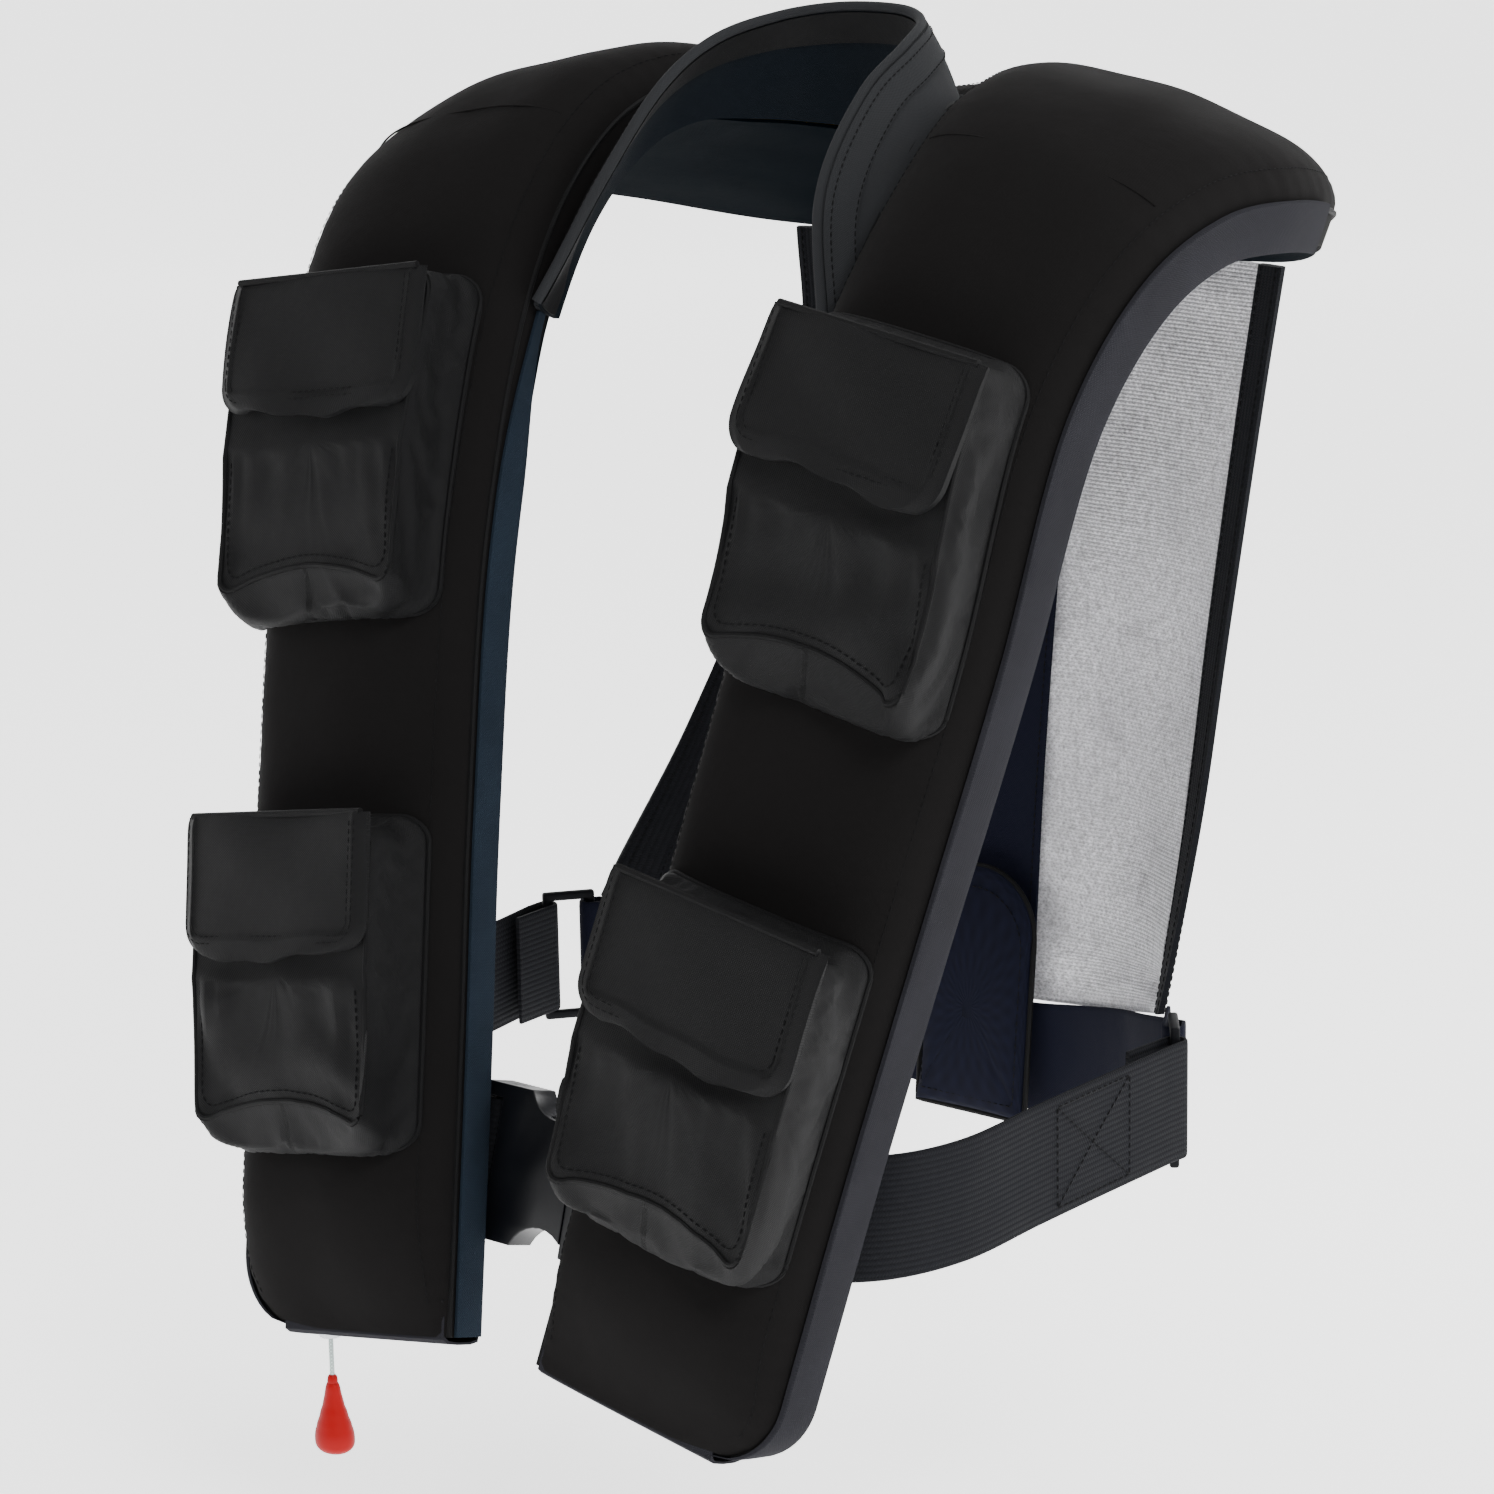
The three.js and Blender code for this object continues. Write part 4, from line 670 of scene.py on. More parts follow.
# ---------------------------------------------------------------- cover
def make_cover():
    k = np.concatenate([np.linspace(0, 0.6, 26), np.linspace(0.62, 4, 110), np.linspace(4.02, BACK, 120)])
    k = np.concatenate([k, LAST - k[-2::-1]])
    t = np.concatenate([[0.0, 0.004, 0.012, 0.03], np.linspace(0.06, 0.94, 44), [0.97, 0.988, 0.996, 1.0]])
    rows = Stations(k)
    width = width_at(k, rows.width)
    crown = crown_at(k)
    s = length_at(k)

    def skin(inset):
        w = inset + (width - 2 * inset)[:, None] * t
        h = (EDGE_HEIGHT - inset) + (crown - EDGE_HEIGHT)[:, None] * arch(t)
        settle = ripple((s[:, None] * np.where(k < BACK, 1, 1.13)[:, None], w), 9, 3)
        across = np.sin(np.pi * t) ** 0.7
        h = h + 0.75 * settle * across
        near_edge = np.exp(-w / 7) + np.exp(-(width[:, None] - w) / 7)
        puckers = 0.35 * np.sin(s / 9.5 * 2 * math.pi)[:, None] * near_edge
        top = rows.place(w, h + puckers)
        low = rows.place(w[:, [0, -1]], np.full((len(k), 2), -EDGE_DROP))
        shoulder = rows.place(w[:, [0, -1]], np.full((len(k), 2), 1.5))
        return np.concatenate([low[:, :1], shoulder[:, :1], top, shoulder[:, 1:], low[:, 1:]], 1)
    cover = sheet_mesh("cover_skin", skin(0.0), skin(2.0), "cover_fabric", sharp=60,
                       stands_for=["cover_left", "cover_right", "cover_yoke"])

    q = np.linspace(0, LAST, 420)
    f = Stations(q)
    # Piping in the edge seams, and the seam over each shoulder.
    for edge, w, rise, radius in (("outer", width_at(q, f.width) - 0.1, 0.4, 1.3),
                                  ("inner", np.full(len(q), 0.1), 0.2, 1.2)):
        path = f.place(w[:, None], np.full((len(q), 1), EDGE_HEIGHT + rise))[:, 0]
        tube(f"{edge}_piping", path, radius, "piping", 8, slot="cover_fabric")
    for part, q in (("left", SHOULDER), ("right", LAST - SHOULDER)):
        f = Stations([q])
        w = f.width[0] * t
        ridge = f.place(w[None], EDGE_HEIGHT + (CROWN - EDGE_HEIGHT) * arch(t)[None])[0][5:-5]
        tube(f"shoulder_seam_{part}", ridge, 0.45, "cover_fabric", 8)
    # Top stitching inside each edge.
    q = np.linspace(0.12, LAST - 0.12, 500)
    f = Stations(q)
    width, offset = width_at(q, f.width), 7.0
    lines = []
    for w in (np.full(len(q), offset), width - offset):
        h = cover_height(q, w, width) + 0.35
        lines.append(f.place(w[:, None], h[:, None])[:, 0])
    stitches("cover_top_stitching", lines, radius=0.2, slot="cover_fabric")


make_cover()


def make_lobe_layers():
    for part in ("left", "right", "yoke"):
        first, last = {"left": (0, SHOULDER), "right": (LAST - SHOULDER, LAST),
                       "yoke": (SHOULDER + 0.02, LAST - SHOULDER - 0.02)}[part]
        k = np.linspace(first, last, 160)
        rows = Stations(k)
        w = width_at(k, rows.width)[:, None] * np.linspace(0.01, 0.99, 24)
        soft = 0.35 * ripple((length_at(k)[:, None], w), 6, 11)
        top = -EDGE_DROP - 0.6
        sheet_mesh(f"liner_{part}_cloth", rows.place(w, top - 0.4 + soft), rows.place(w, top - 1.8 + soft),
                   "lining", stands_for=[f"liner_{part}"])
    for part in ("left", "right"):
        def station(q):
            return q if part == "left" else LAST - q
        # Ribbed side band outside the outer piping.
        q = np.linspace(0, 7.5, 300)
        rows = Stations(station(q))
        edge = width_at(rows.k, rows.width)
        profile = np.array([-0.45, -0.43, -0.3, 0, 0.25, 0.48, 0.5])
        bow = np.array([0, 0.5, 0.9, 1.1, 0.9, 0.5, 0])
        wander = 0.5 * np.sin(length_at(rows.k) / 37)[:, None]

        def band(gap):
            return rows.place(edge[:, None] + gap + 0.8 * bow + wander * bow,
                              22 * np.broadcast_to(profile, (300, 7)))
        sheet_mesh(f"side_band_{part}_tape", band(2.4), band(0.6), "edge_tape",
                   stands_for=[f"side_band_{part}"])
        q = np.linspace(0, COLLAR_TIP, 170)
        rows = Stations(station(q))
        profile = np.array([-0.55, -0.52, -0.2, 0.1, 0.37, 0.4])

        def tape(gap):
            taper = 1 - 0.7 * smoothstep(q, 3.2, COLLAR_TIP)[:, None]
            return rows.place(np.full((170, 6), -gap) - 0.4 * np.sin(np.linspace(0, math.pi, 6)),
                              15 * profile * taper)
        sheet_mesh(f"inner_tape_{part}_cloth", tape(2.0), tape(0.6), "inner_tape", slot="edge_tape",
                   stands_for=[f"inner_tape_{part}"])
        make_hem(part)


def make_hem(part):
    """A folded tape that closes the hem, from the cover's face round to the lining."""
    f = Stations([0.0 if part == "left" else float(LAST)])
    down = -f.along[0] if part == "left" else f.along[0]
    width = f.width[0] - CORNER_RADIUS
    t = np.linspace(0, 1, 40)
    w = 1.5 + (width + 6 - 1.5) * t
    full = f.width[0]
    crown = EDGE_HEIGHT + (HEM_CROWN - EDGE_HEIGHT) * arch(np.clip(w / full, 0, 1))
    # Its section: how far below the hem line, how far off the cover, and the share of the way to the lining.
    fold = [(-14, 1.0, 0), (-13.6, 1.4, 0), (-6, 1.6, 0), (1, 1.5, 0), (2.6, 0.6, 0.1),
            (3.3, 0, 0.4), (3.3, 0, 0.8), (2.4, -0.6, 1), (-1, -1.4, 1), (-11, -1.4, 1)]
    outer, inner = [], []

    def at(h, drop):
        return f.inner[0] + f.across[0] * w[:, None] + f.out[0] * h[:, None] + down * drop
    for drop, rise, share in fold:
        h = crown + (-9.2 - crown) * share
        outer.append(at(h + rise, drop))
        inner.append(at(h + 0.2 * rise, drop - 1.0))
    sheet_mesh(f"hem_tape_{part}", np.array(outer), np.array(inner), "edge_tape", sharp=50)
    tube(f"hem_piping_{part}", at(crown + 1.6, -14.6), 1.2, "piping", 8, slot="cover_fabric")
    stitches(f"hem_stitching_{part}", [at(crown + 1.8, -8)], slot="cover_fabric")


make_lobe_layers()


# ---------------------------------------------------------------- collar
RIM = np.array([
    (NECK_SIDE - 3, -72, -101), (NECK_SIDE - 21, -50, -50), (NECK_SIDE - 26, -16, -14),
    (NECK_SIDE - 29, 14, 1), (NECK_SIDE - 40, 40, 8), (NECK_SIDE - 57, 54, 11), (0, 58, 12)], float)
COLLAR_BOW = 2.2                  # how far its middle stands out from a straight line, foot to rim


def make_collar():
    k = np.linspace(COLLAR_TIP, LAST - COLLAR_TIP, 260)
    rows = Stations(k)
    foot = rows.place(np.full((len(k), 1), -2.5), np.full((len(k), 1), -7.0))[:, 0]
    rim = both_sides(RIM)((k - COLLAR_TIP) / (LAST - 2 * COLLAR_TIP))
    lift = unit(rim - foot)
    inward = unit(np.cross(lift, rows.along))
    inward *= -np.sign(np.sum(inward * rows.across, -1))[:, None]
    height = np.linalg.norm(rim - foot, axis=-1)
    t = np.linspace(0, 1, 26)
    span = length_at(k) * np.where(k < BACK, 1, -1)
    bow = np.sin(np.pi * t)
    roll = COLLAR_BOW * bow[None] + 0.5 * ripple((span[:, None], height[:, None] * t), 6, 5) * bow

    def face(depth):
        return (foot[:, None] + (rim - foot)[:, None] * t[None, :, None]
                + inward[:, None] * (depth - roll)[..., None])
    sheet_mesh("collar_outer", face(0.0), face(1.4), "collar_fabric", stands_for=["collar"])
    sheet_mesh("collar_lining", face(1.6), face(3.0), "collar_inside", slot="lining")
    bead = rim + lift * 1.6 + inward * 1.5
    tube("collar_rim_binding", bead, 2.2, "collar_fabric", 12, stands_for=["collar_binding"])
    # A band sewn along the rim, on the outside and the inside.
    low = np.clip(1 - 14 / height, 0.2, 1)
    for name, depth, look in (("collar_rim_band", -0.9, "collar_fabric"),
                              ("collar_rim_facing", 3.2, "piping")):
        share = low[:, None] + (0.995 - low)[:, None] * np.linspace(0, 1, 7)
        curve = COLLAR_BOW * np.sin(np.pi * share)

        def strip(d):
            return (foot[:, None] + (rim - foot)[:, None] * share[..., None]
                    + inward[:, None] * (d - curve)[..., None])
        sheet_mesh(name, strip(depth), strip(depth + 0.8), look, slot="collar_fabric")
    seams = []
    for share in (low + 0.02, np.clip(1 - 3.2 / height, 0.2, 1)):
        bow = (COLLAR_BOW * np.sin(np.pi * share))[:, None]
        seams.append(foot + (rim - foot) * share[:, None] - inward * (bow + 1.15))
    stitches("collar_stitching", seams, slot="collar_fabric")
    tube("collar_seam_piping", foot - inward * 1.0 + lift * 12, 1.0, "piping", 8, slot="collar_fabric")


make_collar()


# ---------------------------------------------------------------- pockets
POCKET_WIDTH, POCKET_HEIGHT = 104.0, 134.0
FRONT = 59.0                      # height of a pocket's front panel
PANEL_LEAN = 3.5                  # front panels hang a little to the wearer's left
RISE = {"upper": 291.0, "lower": 75.0}
FLAP_LENGTH = 58.0
SIDES = 176                       # points round a pocket


def rounded_outline(half_x, low_y, high_y, radius, count=SIDES):
    """Points round a rounded rectangle, evenly spread, starting at the middle of its foot."""
    corners = [(half_x - radius, low_y + radius, -90), (half_x - radius, high_y - radius, 0),
               (radius - half_x, high_y - radius, 90), (radius - half_x, low_y + radius, 180)]
    path = [(0, low_y)]
    for x, y, start in corners:
        angle = np.radians(start + np.linspace(0, 90, 14))
        path += list(zip(x + radius * np.cos(angle), y + radius * np.sin(angle)))
    path.append((0, low_y))
    path = np.array(path)
    along = spans(path[None])[0]
    want = np.linspace(0, along[-1], count, endpoint=False)
    return np.stack([np.interp(want, along, path[:, i]) for i in range(2)], -1)


def pocket_stations(part, rise, flat):
    """Stations and widths for points of a pocket's plane, x to the wearer's left and y up from its foot."""
    rows = Stations(side_station(part, rise + flat[..., 1].ravel()))
    return rows, rows.width / 2 + (1 if part == "left" else -1) * flat[..., 0].ravel()


def pocket_place(part, rise, flat, height):
    """Points of a pocket's plane at a height above the edge line."""
    rows, w = pocket_stations(part, rise, flat)
    return rows.place(w[:, None], height.ravel()[:, None])[:, 0].reshape(flat.shape[:-1] + (3,))


def pocket_seat(part, rise, flat):
    """The cover's height under pocket points."""
    rows, w = pocket_stations(part, rise, flat)
    return cover_height(rows.k, w, rows.width).reshape(flat.shape[:-1])


def pocket_rings(part, level, seed):
    """Rings from the foot seam, up the pleated gusset, round the front seam and over the front panel."""
    rise = RISE[level]
    half = POCKET_WIDTH / 2
    base = rounded_outline(half, 0.0, POCKET_HEIGHT, 10)
    front = rounded_outline(half - 0.5, 9.0, POCKET_HEIGHT - 7, 8) + np.array([PANEL_LEAN, 0])
    low = smoothstep(front[:, 1], 60, 12)
    bow = np.cos(np.clip((front[:, 0] - PANEL_LEAN) / half, -1, 1) * math.pi / 2)
    front[:, 1] += 9 * low * bow ** 1.2            # foot of the panel arches up
    centre = np.array([0, 74.0])
    perimeter = spans(base[None])[0]
    random = np.random.default_rng(seed)
    wobble = sum(random.uniform(0.4, 1) * np.sin(perimeter / random.uniform(9, 26) + random.uniform(0, 6))
                 for _ in range(5)) / 2
    rings, heights, cloth = [], [], []
    seat = pocket_seat(part, rise, base) + 1.2

    def add(flat, height, place):
        rings.append(flat)
        heights.append(height)
        cloth.append(place)
    for share in np.linspace(0, 1, 17):
        pleat = math.sin(share * math.pi * 2 - 0.4) * math.sin(share * math.pi)
        sag = (1 - smoothstep(base[:, 1], 0, 55)) * math.sin(share * math.pi)
        inset = base + (centre - base) / np.linalg.norm(base - centre, axis=1, keepdims=True) * (
            (1.6 * pleat * (1 + 0.5 * wobble) + 0.9 * wobble * math.sin(share * math.pi)))[:, None]
        flat = inset + (front - base) * smoothstep(share, 0.0, 1.05)
        flat[:, 1] -= 3.5 * sag
        height = seat + (FRONT - 0.6 - seat) * share ** 0.92 + 0.6 * wobble * math.sin(share * math.pi)
        add(flat, height, np.stack([perimeter, np.full(SIDES, share * 34.0)], -1))
    for inset in (1.0, 2.4, 4.5, 7, 10, 14, 18, 22.5, 27, 31.5, 36, 40, 43.5, 45.6):
        share = inset / 46.5
        flat = front + (np.array([PANEL_LEAN, 70.0]) - front) * share
        y = flat[:, 1]
        below_flap = 1 - smoothstep(y, 58, 78)
        bulge = 3.6 * below_flap * math.sin(min(1, inset / 20) * math.pi / 2)
        folds = ripple((flat[:, 0] * 0.8, y * 1.4), 7, seed + 5)
        corner = np.abs(flat[:, 0] - PANEL_LEAN) / half + (1 - smoothstep(y, 10, 50)) - 0.9
        creases = np.sin((flat[:, 0] * (1 if seed % 2 else -1) + y) / 5.5 + folds) * np.clip(corner, 0, 1)
        height = (FRONT - 0.6 + min(1, inset / 2) * 0.3 + bulge * (0.8 + 0.2 * folds)
                  + (1.5 * folds + 1.9 * creases) * below_flap * min(1, inset / 8))
        add(flat, height, flat)
    return np.array(rings), np.array(heights), np.array(cloth)


def make_pocket(part, level, seed):
    name = f"{level}_pocket_{part}"
    rise = RISE[level]
    rings, heights, cloth = pocket_rings(part, level, seed)
    outer = pocket_place(part, rise, rings, heights)
    count = len(rings)
    points = outer.reshape(-1, 3)
    faces = grid_faces(count, SIDES, loop_columns=True)
    faces.append(tuple((count - 1) * SIDES + i for i in range(SIDES)))
    body = mesh_object(f"{name}_shell", points, faces, "pocket_fabric", stands_for=[name], sharp=48,
                       cloth=cloth.reshape(-1, 2), slot="pocket_fabric")
    flat_y = rings[..., 1].ravel()
    row = np.repeat(np.arange(count), SIDES)
    drape(body, (row <= 1) | ((row >= 15) & (flat_y > 66)), 2.2, 0.035, 0.6, 5.0)
    skin = np.array([v.co for v in body.data.vertices]).reshape(count, SIDES, 3) / MM
    thicken(body, 1.3)
    # Piping round the foot seam and the front seam.
    seat = pocket_seat(part, rise, rings[0])
    foot = pocket_place(part, rise, rings[0], seat + 1.5)
    tube(f"{name}_foot_piping", foot, 1.25, "piping", 8, closed=True, slot="pocket_fabric")
    tube(f"{name}_front_piping", skin[17], 1.15, "piping", 8, closed=True, slot="pocket_fabric")
    seam = skin[19] + 0.3 * LobeFrame(part, rise + POCKET_HEIGHT / 2, FRONT).z
    lower = seam[rings[19][:, 1] < 64]
    gap = int(np.argmax(np.linalg.norm(np.diff(lower, axis=0), axis=1)))
    stitches(f"{name}_stitching", [np.vstack([lower[gap + 1:], lower[:gap + 1]])], slot="pocket_fabric")


def thicken(obj, thickness):
    """Gives a skin its cloth's thickness, inwards."""
    modifier = obj.modifiers.new("cloth", "SOLIDIFY")
    modifier.thickness = thickness * MM
    modifier.offset = -1
    bake(obj)


DRAPE_FRAMES = 20
STRETCH, SHEAR, BENDING = 18, 8, 0.25     # stiffness of pocket cloth


def drape(obj, held, pressure, slack, gravity, cap):
    """Lets a skin hang and swell as cloth from its held points; cap is the furthest that a point may move."""
    group = obj.vertex_groups.new(name="held")
    group.add([int(i) for i in np.flatnonzero(held)], 1.0, "REPLACE")
    modifier = obj.modifiers.new("drape", "CLOTH")
    cloth = modifier.settings
    cloth.quality = 6
    cloth.mass = 0.2
    cloth.tension_stiffness = cloth.compression_stiffness = STRETCH
    cloth.shear_stiffness = SHEAR
    cloth.bending_stiffness = BENDING
    cloth.vertex_group_mass = "held"
    cloth.use_pressure = pressure > 0
    cloth.uniform_pressure_force = pressure
    cloth.shrink_min = -slack
    cloth.effector_weights.gravity = gravity
    modifier.collision_settings.use_collision = False
    before = np.array([v.co for v in obj.data.vertices])
    for number in range(DRAPE_FRAMES):
        bpy.context.scene.frame_set(number + 1)
    evaluated = obj.evaluated_get(bpy.context.evaluated_depsgraph_get())
    moved = np.array([v.co for v in evaluated.data.vertices]) - before
    far = np.linalg.norm(moved, axis=1, keepdims=True)
    limit = cap * MM
    moved *= np.where(far > 1e-9, limit * np.tanh(far / limit) / np.maximum(far, 1e-9), 0)
    obj.modifiers.clear()
    obj.vertex_groups.clear()
    obj.data.vertices.foreach_set("co", (before + moved).astype(np.float32).ravel())
    obj.data.update()
    bpy.context.scene.frame_set(1)


def bake(obj):
    """Puts the result of an object's modifiers into its mesh."""
    graph = bpy.context.evaluated_depsgraph_get()
    mesh = bpy.data.meshes.new_from_object(obj.evaluated_get(graph), preserve_all_data_layers=True,
                                           depsgraph=graph)
    obj.modifiers.clear()
    obj.data = mesh


class LobeFrame:
    """A flat frame on a front lobe: x to the wearer's left, y up the lobe, z out."""

    def __init__(self, part, s, h, shift=0.0):
        f = Stations([float(side_station(part, s))])
        self.x = f.across[0] * (1 if part == "left" else -1)
        self.z = f.out[0]
        self.y = unit(np.cross(self.z, self.x))
        self.origin = f.place(f.width[:, None] / 2, np.full((1, 1), float(h)))[0, 0] + self.x * shift

    def at(self, x, y, z):
        x, y, z = np.broadcast_arrays(np.asarray(x, float), y, z)
        return self.origin + x[..., None] * self.x + y[..., None] * self.y + z[..., None] * self.z


def make_flap(part, level, seed):
    name = f"{level}_pocket_{part}_flap"
    body = f"{level}_flap_{part}"
    top = FLAP_LENGTH / 2
    group = LobeFrame(part, RISE[level] + POCKET_HEIGHT - top, FRONT, PANEL_LEAN - 1.0)
    half, corner = POCKET_WIDTH / 2 + 1.5, 13.0
    v = np.concatenate([np.linspace(0, 0.86, 34), np.linspace(0.875, 1, 12)])
    u = np.concatenate([np.linspace(-1, -0.86, 8), np.linspace(-0.82, 0.82, 44), np.linspace(0.86, 1, 8)])
    down = FLAP_LENGTH * v
    rest = np.clip(down - (FLAP_LENGTH - corner), 0, corner)
    reach = half - corner + np.sqrt(np.maximum(0.0, corner ** 2 - rest ** 2))
    reach[:2] *= 0.995
    x = reach[:, None] * u[None]
    y = top - down[:, None] + 0 * x
    lower = v[:, None] ** 2
    curl = 2.6 + 1.9 * (1 - np.abs(u[None]) ** 3) * (0.4 + 0.6 * v[:, None]) + 0.7 * ripple((y, x), 7, seed)
    curl = curl + 0.9 * lower * np.sin(u * 5.2 + seed)[None]
    curl = curl - 1.6 * np.exp(-down / 5)[:, None] - 2.4 * smoothstep(np.abs(u), 0.86, 1)[None]
    y = y + (2.2 * np.sin(u * 2.6 + seed) + 0.7 * np.sin(u * 9 + 2 * seed))[None] * v[:, None] ** 3
    thick = np.full(x.shape, 2.0)
    hem = (down[:, None] > FLAP_LENGTH - 8.5) | (np.abs(x) > half - 7)
    thick = thick + 0.8 * hem
    flap = sheet_mesh(f"{name}_panel", group.at(x, y, curl + thick), group.at(x, y, np.maximum(curl, 1.2)),
                      "pocket_fabric", body=body, stands_for=[name], sharp=55)
    rows = []
    for inset in (8.9, 6.0):
        edge = [(-half + inset - 1, y0) for y0 in np.linspace(top - 3, top - FLAP_LENGTH + corner, 12)]
        radius = max(1.5, corner - inset + 2)
        for sign, start in ((-1, 180), (1, 270)):
            angle = np.radians(start + np.linspace(0, 90, 8))
            cx = sign * (half - inset + 1 - radius)
            cy = top - FLAP_LENGTH + inset + radius - 0.5
            edge += list(zip(cx + radius * np.cos(angle), cy + radius * np.sin(angle)))
        edge += [(half - inset + 1, y0) for y0 in np.linspace(top - FLAP_LENGTH + corner, top - 3, 12)]
        edge = np.array(edge)
        z = 2.6 + 1.9 * (1 - np.abs(edge[:, 0] / half) ** 3) + 2.2 + (0.8 if inset < 7 else 0.2)
        rows.append(group.at(edge[:, 0], edge[:, 1], z))
    stitches(f"{name}_stitching", rows, body=body, slot="pocket_fabric")
    fold = group.at(np.linspace(-half + 4, half - 4, 40), top + 0.1, 3.2)
    tube(f"{name}_fold_piping", fold, 1.5, "piping", 8, body=body, slot="pocket_fabric")


for number, (part, level) in enumerate((p, l) for p in ("left", "right") for l in ("upper", "lower")):
    make_pocket(part, level, 20 + number)
    make_flap(part, level, 40 + number)


# ---------------------------------------------------------------- back panel
RING = sum(box_mm("side_ring_left")) / 2
BELT_HEIGHT = RING[2] - 20
MIDDLE_HEIGHT = BELT_HEIGHT - 18
WEBBING_WIDTH, WEBBING_THICKNESS = 50.0, 2.0
BACK_FOOT, EDGE_FOOT = MIDDLE_HEIGHT + 27, RING[2] + 28
BINDING = 15 / (NECK_SIDE + 60)


def downward(top, foot, points):
    return spline([(x, y, top + (foot - top) * share) for x, y, share in points])


back_middle = downward(-97, BACK_FOOT, [(0, 179, 0), (0, 174, 0.159), (0, 158, 0.458), (0, 146, 0.698),
                                        (0, 138, 0.907), (0, 135, 1)])
back_edge = downward(-98, EDGE_FOOT, [(NECK_SIDE + x, y, share) for x, y, share in (
    (52, 166, 0), (46, 161, 0.177), (51, 127, 0.517), (62, 92, 0.755), (73, 54, 0.952), (75, 45, 1))])


def back_points(u, v, inward):
    """The back panel from edge to edge (u from -1 to 1) and top to foot (v from 0 to 1)."""
    u, v, inward = np.broadcast_arrays(np.asarray(u, float), v, inward)
    middle, edge = back_middle(v), back_edge(v)
    reach = np.abs(u)
    point = np.stack([edge[..., 0] * u, middle[..., 1] + (edge[..., 1] - middle[..., 1]) * reach ** 2.4,
                      middle[..., 2] + (edge[..., 2] - middle[..., 2]) * reach ** 2], -1)
    slope = 2.4 * reach ** 1.4 * (edge[..., 1] - middle[..., 1]) / edge[..., 0] * np.sign(u)
    normal = unit(np.stack([-slope, np.ones_like(slope), np.full_like(slope, 0.13)], -1))
    return point - normal * inward[..., None]


def make_back():
    u, v = np.linspace(-1 + BINDING, 1 - BINDING, 120), np.linspace(0, 1, 150)
    x = u[None] * 140
    z = v[:, None] * 330
    # Long slack folds that run down from the armholes towards the strap, and short ones above the belt.
    pull = np.sin((np.abs(x) * 0.9 + z * 0.45) / 15.5) * np.exp(-((np.abs(x) - 88) / 36) ** 2)
    low = np.sin((x * 0.35 + z) / 9 + 1.2 * np.sin(x / 31)) * smoothstep(v, 0.6, 0.92)[:, None]
    creases = 0.9 * pull * (0.35 + 0.65 * v[:, None]) + 0.9 * low + 0.8 * ripple((z, x), 8, 8)
    creases = creases * (1 - np.abs(u[None]) ** 8) * smoothstep(v, 0, 0.06)[:, None]
    creases = np.clip(1.5 * creases, -2.0, 1.3)
    outer = back_points(u[None], v[:, None], 0.0 + creases)
    inner = back_points(u[None], v[:, None], 1.5 + creases)
    mesh = sheet_mesh("back_mesh_panel", outer, inner, "back_mesh", stands_for=["back_mesh"])
    for part, sign in (("left", 1), ("right", -1)):
        edge = sign * np.array([1 - BINDING + 0.003, 1 - 0.8 * BINDING, 1 - 0.5 * BINDING,
                                1 - 0.2 * BINDING, 1.0])
        pinch = 0.25 * np.array([1.5, 0, 0, 0, 1.5])[None]
        face = back_points(edge[None], v[:, None], -0.9 + pinch)
        rear = back_points(edge[None], v[:, None], 2.3 - pinch)
        sheet_mesh(f"edge_binding_{part}_tape", face, rear, "webbing", stands_for=[f"edge_binding_{part}"])
        lines = [back_points(sign * (1 - share * BINDING), v, -1.05 if inward < 1 else 2.45)
                 for share in (0.82, 0.2) for inward in (0, 2)]
        stitches(f"edge_binding_{part}_stitching", lines, slot="webbing")
    half = 23 / (NECK_SIDE + 55)
    v = np.linspace(0.01, 0.97, 130)
    across = np.linspace(-half, half, 9)
    thin = 0.35 * np.array([1, 0, 0, 0, 0, 0, 0, 0, 1])
    sheet_mesh("back_strap_webbing", back_points(across[None], v[:, None], 3.0 + thin),
               back_points(across[None], v[:, None], 5.0 - thin), "navy_fabric", stands_for=["back_strap"])
    lines = [back_points(sign * half * 0.88, v, 5.15) for sign in (-1, 1)]
    stitches("back_strap_stitching", lines, slot="navy_fabric")


make_back()


